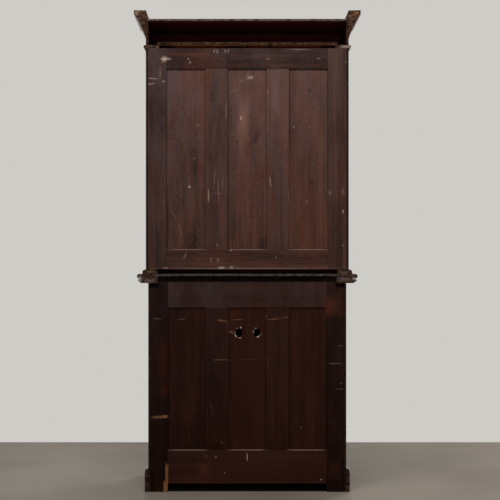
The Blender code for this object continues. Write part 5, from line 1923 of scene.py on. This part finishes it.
def door_members(door, opening):
    low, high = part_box(f"{door}_door_frame")
    out = WEAR_BAND
    inner = (opening.left + JOINT, opening.right - JOINT)
    return {
        "left_stile": ("Z", (low.x - out, opening.left - JOINT, low.z - out, high.z + out)),
        "right_stile": ("Z", (opening.right + JOINT, high.x + out, low.z - out, high.z + out)),
        "top_rail": ("X", (*inner, opening.head - WEAR_BAND, high.z + out)),
        "bottom_rail": ("X", (*inner, low.z - out, opening.foot + WEAR_BAND)),
    }


def make_door_frame(door, opening):
    for name, (axis, spans) in door_members(door, opening).items():
        member(f"{door}_door_{name}", f"{door}_door_frame", spans, POLISHED, axis)


# %% [markdown]
# A bead is a quarter round mitred at four corners. It is lofted as a ring, since a ring of four rods
# would have to be trimmed at each mitre.

# %% Glaze the upper doors
GLASS_REBATE = 8.7 * MM
GLASS_ROUND = 0.3 * MM
BEAD_WIDTH = 8 * MM
BEAD_FLAT = 0.25 * BEAD_WIDTH
BEAD_EASE = 0.4 * MM


def bead_profile(low, high):
    """A quarter round that stands against the rebate and the glass, as (inward, depth) points."""
    deep = high.y - low.y
    profile = [(0, low.y), (0, high.y)]
    profile += arc((BEAD_FLAT, low.y), (BEAD_WIDTH - BEAD_FLAT, deep), 90, 0)
    return profile


def make_bead(door):
    """A ring of glazing bead with mitred corners."""
    node = f"{door}_glazing_bead"
    low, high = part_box(node)
    points, wear = eased(bead_profile(low, high), BEAD_EASE)
    bm = bmesh.new()
    layer = bm.verts.layers.float.new("edge")
    rings = []
    for x, z, turn_x, turn_z in (
        (low.x, low.z, 1, 1),
        (high.x, low.z, -1, 1),
        (high.x, high.z, -1, -1),
        (low.x, high.z, 1, -1),
    ):
        ring = []
        for (inward, y), worn in zip(points, wear):
            vert = bm.verts.new((x + turn_x * inward, y, z + turn_z * inward))
            vert[layer] = worn
            ring.append(vert)
        rings.append(ring)
    count = len(points)
    for ring, following in zip(rings, rings[1:] + rings[:1]):
        for index in range(count):
            after = (index + 1) % count
            bm.faces.new((ring[index], ring[after], following[after], following[index]))
    bmesh.ops.recalc_face_normals(bm, faces=bm.faces[:])
    add_piece(f"{door}_bead_ring", bm, POLISHED, [node], "Z", (0.06, 0.06))


for hand in HANDS:
    door = f"upper_{hand}"
    make_door_frame(door, opening_round(f"{door}_glass_pane", GLASS_REBATE))
    make_bead(door)
    softened(f"{door}_glass_pane", GLASS, radius=GLASS_ROUND)

print("pieces with the glazed doors:", len(made_pieces))

# %% [markdown]
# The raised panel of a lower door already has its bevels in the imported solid, so it is only softened.

# %% Make the lower doors
for hand in HANDS:
    door = f"lower_{hand}"
    make_door_frame(door, opening_round(f"{door}_door_panel", TONGUE))
    softened(f"{door}_door_panel", POLISHED, "Z", 0.08)
print("pieces with all doors:", len(made_pieces))

# %% [markdown]
# ## Hinges, locks and keys
#
# Metalwork keeps the shape of its solids, smoothed over their facets, with thin rounded edges that
# catch the light.

# %% Dress the metalwork
METAL_ROUND = 0.25 * MM
NO_BAND = 1.0


def dress_metal(node, finish):
    bm = soften(copy_of(node), METAL_ROUND, NO_BAND)
    return add_piece(f"dressed_{node}", bm, finish, [node])


for node in sorted(frame["nodes"]):
    if "_hinge_" in node or node.endswith("_escutcheon"):
        dress_metal(node, BRASS)
    elif node.endswith("_key") or node.endswith("_lock_bolt"):
        dress_metal(node, STEEL)
print("pieces with the metalwork:", len(made_pieces))

# %% [markdown]
# ## Screws by Geometry Nodes
#
# Every hinge leaf is held by three slotted screws, which is the same thing forty-eight times over. A
# Geometry Nodes tree makes one head, cuts its slot, and sets a copy on each point of a mesh, turned to
# face the way that the point's `facing` attribute says and then by chance about its own axis. The
# result is made a plain mesh, one for each body that the screws move with.

# %% Build the screw tree
SCREW_SIZES = {"Head Radius": 3 * MM, "Head Depth": 0.8 * MM, "Slot Width": 0.8 * MM}
HEAD_FACETS = 24
SLOT_REACH = 2.4
SLOT_RISE = 0.6
SEED = 7


def slotted_head(tree, given):
    """A short cylinder with a slot cut by a blade that lies across it, a little above its middle."""
    sockets = {"Vertices": HEAD_FACETS, "Radius": given["Head Radius"], "Depth": given["Head Depth"]}
    head = put(tree, "GeometryNodeMeshCylinder", sockets, fill_type="NGON").outputs["Mesh"]
    length = maths(tree, "MULTIPLY", given["Head Radius"], SLOT_REACH)
    sockets = {"X": length, "Y": given["Slot Width"], "Z": given["Head Depth"]}
    size = put(tree, "ShaderNodeCombineXYZ", sockets).outputs[0]
    blade = put(tree, "GeometryNodeMeshCube", {"Size": size}).outputs["Mesh"]
    rise = maths(tree, "MULTIPLY", given["Head Depth"], SLOT_RISE)
    lift = put(tree, "ShaderNodeCombineXYZ", {"Z": rise}).outputs[0]
    blade = put(tree, "GeometryNodeTransform", {"Geometry": blade, "Translation": lift}).outputs[0]
    slotted = tree.nodes.new("GeometryNodeMeshBoolean")
    slotted.operation = "DIFFERENCE"
    tree.links.new(head, slotted.inputs["Mesh 1"])
    tree.links.new(blade, slotted.inputs["Mesh 2"])
    return slotted.outputs["Mesh"]


def chance_turn(tree, seed):
    """Each screw faces its own way and stops at an angle that only chance knows."""
    facing = put(tree, "GeometryNodeInputNamedAttribute", {"Name": "facing"}, data_type="FLOAT_VECTOR")
    aimed = put(tree, "FunctionNodeAlignRotationToVector", {"Vector": facing.outputs[0]}, axis="Z").outputs[0]
    chance = tree.nodes.new("FunctionNodeRandomValue")
    chance.data_type = "FLOAT"
    chance.inputs[2].default_value = 0.0
    chance.inputs[3].default_value = math.pi
    chance.inputs["Seed"].default_value = seed
    sockets = {"Axis": (0, 0, 1), "Angle": chance.outputs[1]}
    twist = put(tree, "FunctionNodeAxisAngleToRotation", sockets).outputs[0]
    sockets = {"Rotation": aimed, "Rotate By": twist}
    return put(tree, "FunctionNodeRotateRotation", sockets, rotation_space="LOCAL").outputs[0]


def screw_tree(seed):
    tree = bpy.data.node_groups.new("slotted screws", "GeometryNodeTree")
    tree.interface.new_socket(name="Points", in_out="INPUT", socket_type="NodeSocketGeometry")
    for label, value in SCREW_SIZES.items():
        socket = tree.interface.new_socket(name=label, in_out="INPUT", socket_type=FLOAT)
        socket.default_value = value
    tree.interface.new_socket(name="Metal", in_out="INPUT", socket_type="NodeSocketMaterial")
    tree.interface.new_socket(name="Screws", in_out="OUTPUT", socket_type="NodeSocketGeometry")
    given = tree.nodes.new("NodeGroupInput").outputs
    head = slotted_head(tree, given)
    sockets = {"Points": given["Points"], "Instance": head, "Rotation": chance_turn(tree, seed)}
    placed = put(tree, "GeometryNodeInstanceOnPoints", sockets).outputs[0]
    real = put(tree, "GeometryNodeRealizeInstances", {"Geometry": placed}).outputs[0]
    done = put(tree, "GeometryNodeSetMaterial", {"Geometry": real, "Material": given["Metal"]}).outputs[0]
    tree.links.new(done, tree.nodes.new("NodeGroupOutput").inputs["Screws"])
    return tree


SCREWS = screw_tree(SEED)
print("screw inputs:", [item.name for item in SCREWS.interface.items_tree if item.in_out == "INPUT"])

# %% [markdown]
# The points to set screws on are a mesh without faces. Its tree is worked out once, and the copy that
# comes out of it needs no modifier, so it can be moved with its body like any other piece.

# %% Set screws on a body


def add_screws(name, spots, body, finish):
    """Screw heads at (place, facing) spots, as one plain mesh that rides on a body."""
    mesh = bpy.data.meshes.new(name)
    mesh.from_pydata([place for place, _ in spots], [], [])
    facing = mesh.attributes.new("facing", "FLOAT_VECTOR", "POINT")
    facing.data.foreach_set("vector", [part for _, way in spots for part in way])
    holder = bpy.data.objects.new(name, mesh)
    bpy.context.scene.collection.objects.link(holder)
    step = holder.modifiers.new("screws", "NODES")
    step.node_group = SCREWS
    for item in SCREWS.interface.items_tree:
        if item.in_out == "INPUT" and item.name == "Metal":
            step[item.identifier] = finish.material
    depsgraph = bpy.context.evaluated_depsgraph_get()
    made = bpy.data.meshes.new_from_object(holder.evaluated_get(depsgraph))
    bpy.data.objects.remove(holder, do_unlink=True)
    obj = bpy.data.objects.new(name, made)
    bpy.context.scene.collection.objects.link(obj)
    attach(obj, body)
    made_pieces.append(obj)


# %% [markdown]
# The outer two of a leaf's three screws stand nearer its rear edge than the middle one, so that they
# don't split the wood along one line of grain.

# %% Screw the hinges down
# Each screw of a leaf: how far above the leaf's middle, and how far in from its rear edge
SCREW_ROWS = ((-22 * MM, 6.5 * MM), (0, 10 * MM), (22 * MM, 6.5 * MM))
LEAF_FACE = 0.6 * MM
HEAD_SINK = 0.3 * MM


def hinge_screw_spots(node):
    """Three screws in the face that a leaf turns to the other leaf."""
    low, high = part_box(node)
    axis = (low.x + high.x) / 2
    height = (low.z + high.z) / 2
    side = math.copysign(1, axis)
    way = -side if node.endswith("fixed_leaf") else side
    face = axis - way * (LEAF_FACE + HEAD_SINK)
    facing = Vector((way, 0, 0))
    return [(Vector((face, high.y - inset, height + rise)), facing) for rise, inset in SCREW_ROWS]


def screw_hinges():
    spots = {}
    for node in sorted(frame["nodes"]):
        if "_hinge_" in node:
            spots.setdefault(frame["nodes"][node]["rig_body"], []).extend(hinge_screw_spots(node))
    for body, places in spots.items():
        add_screws(f"{body}_hinge_screws", places, body, BRASS)
        print(body, "hinge screws:", len(places))


screw_hinges()

# %% [markdown]
# ## The count
#
# The pieces and their triangles are counted at the end.

# %% Count the pieces and finish
print("pieces:", len(made_pieces), "triangles:", sum(len(o.data.loop_triangles) for o in made_pieces))
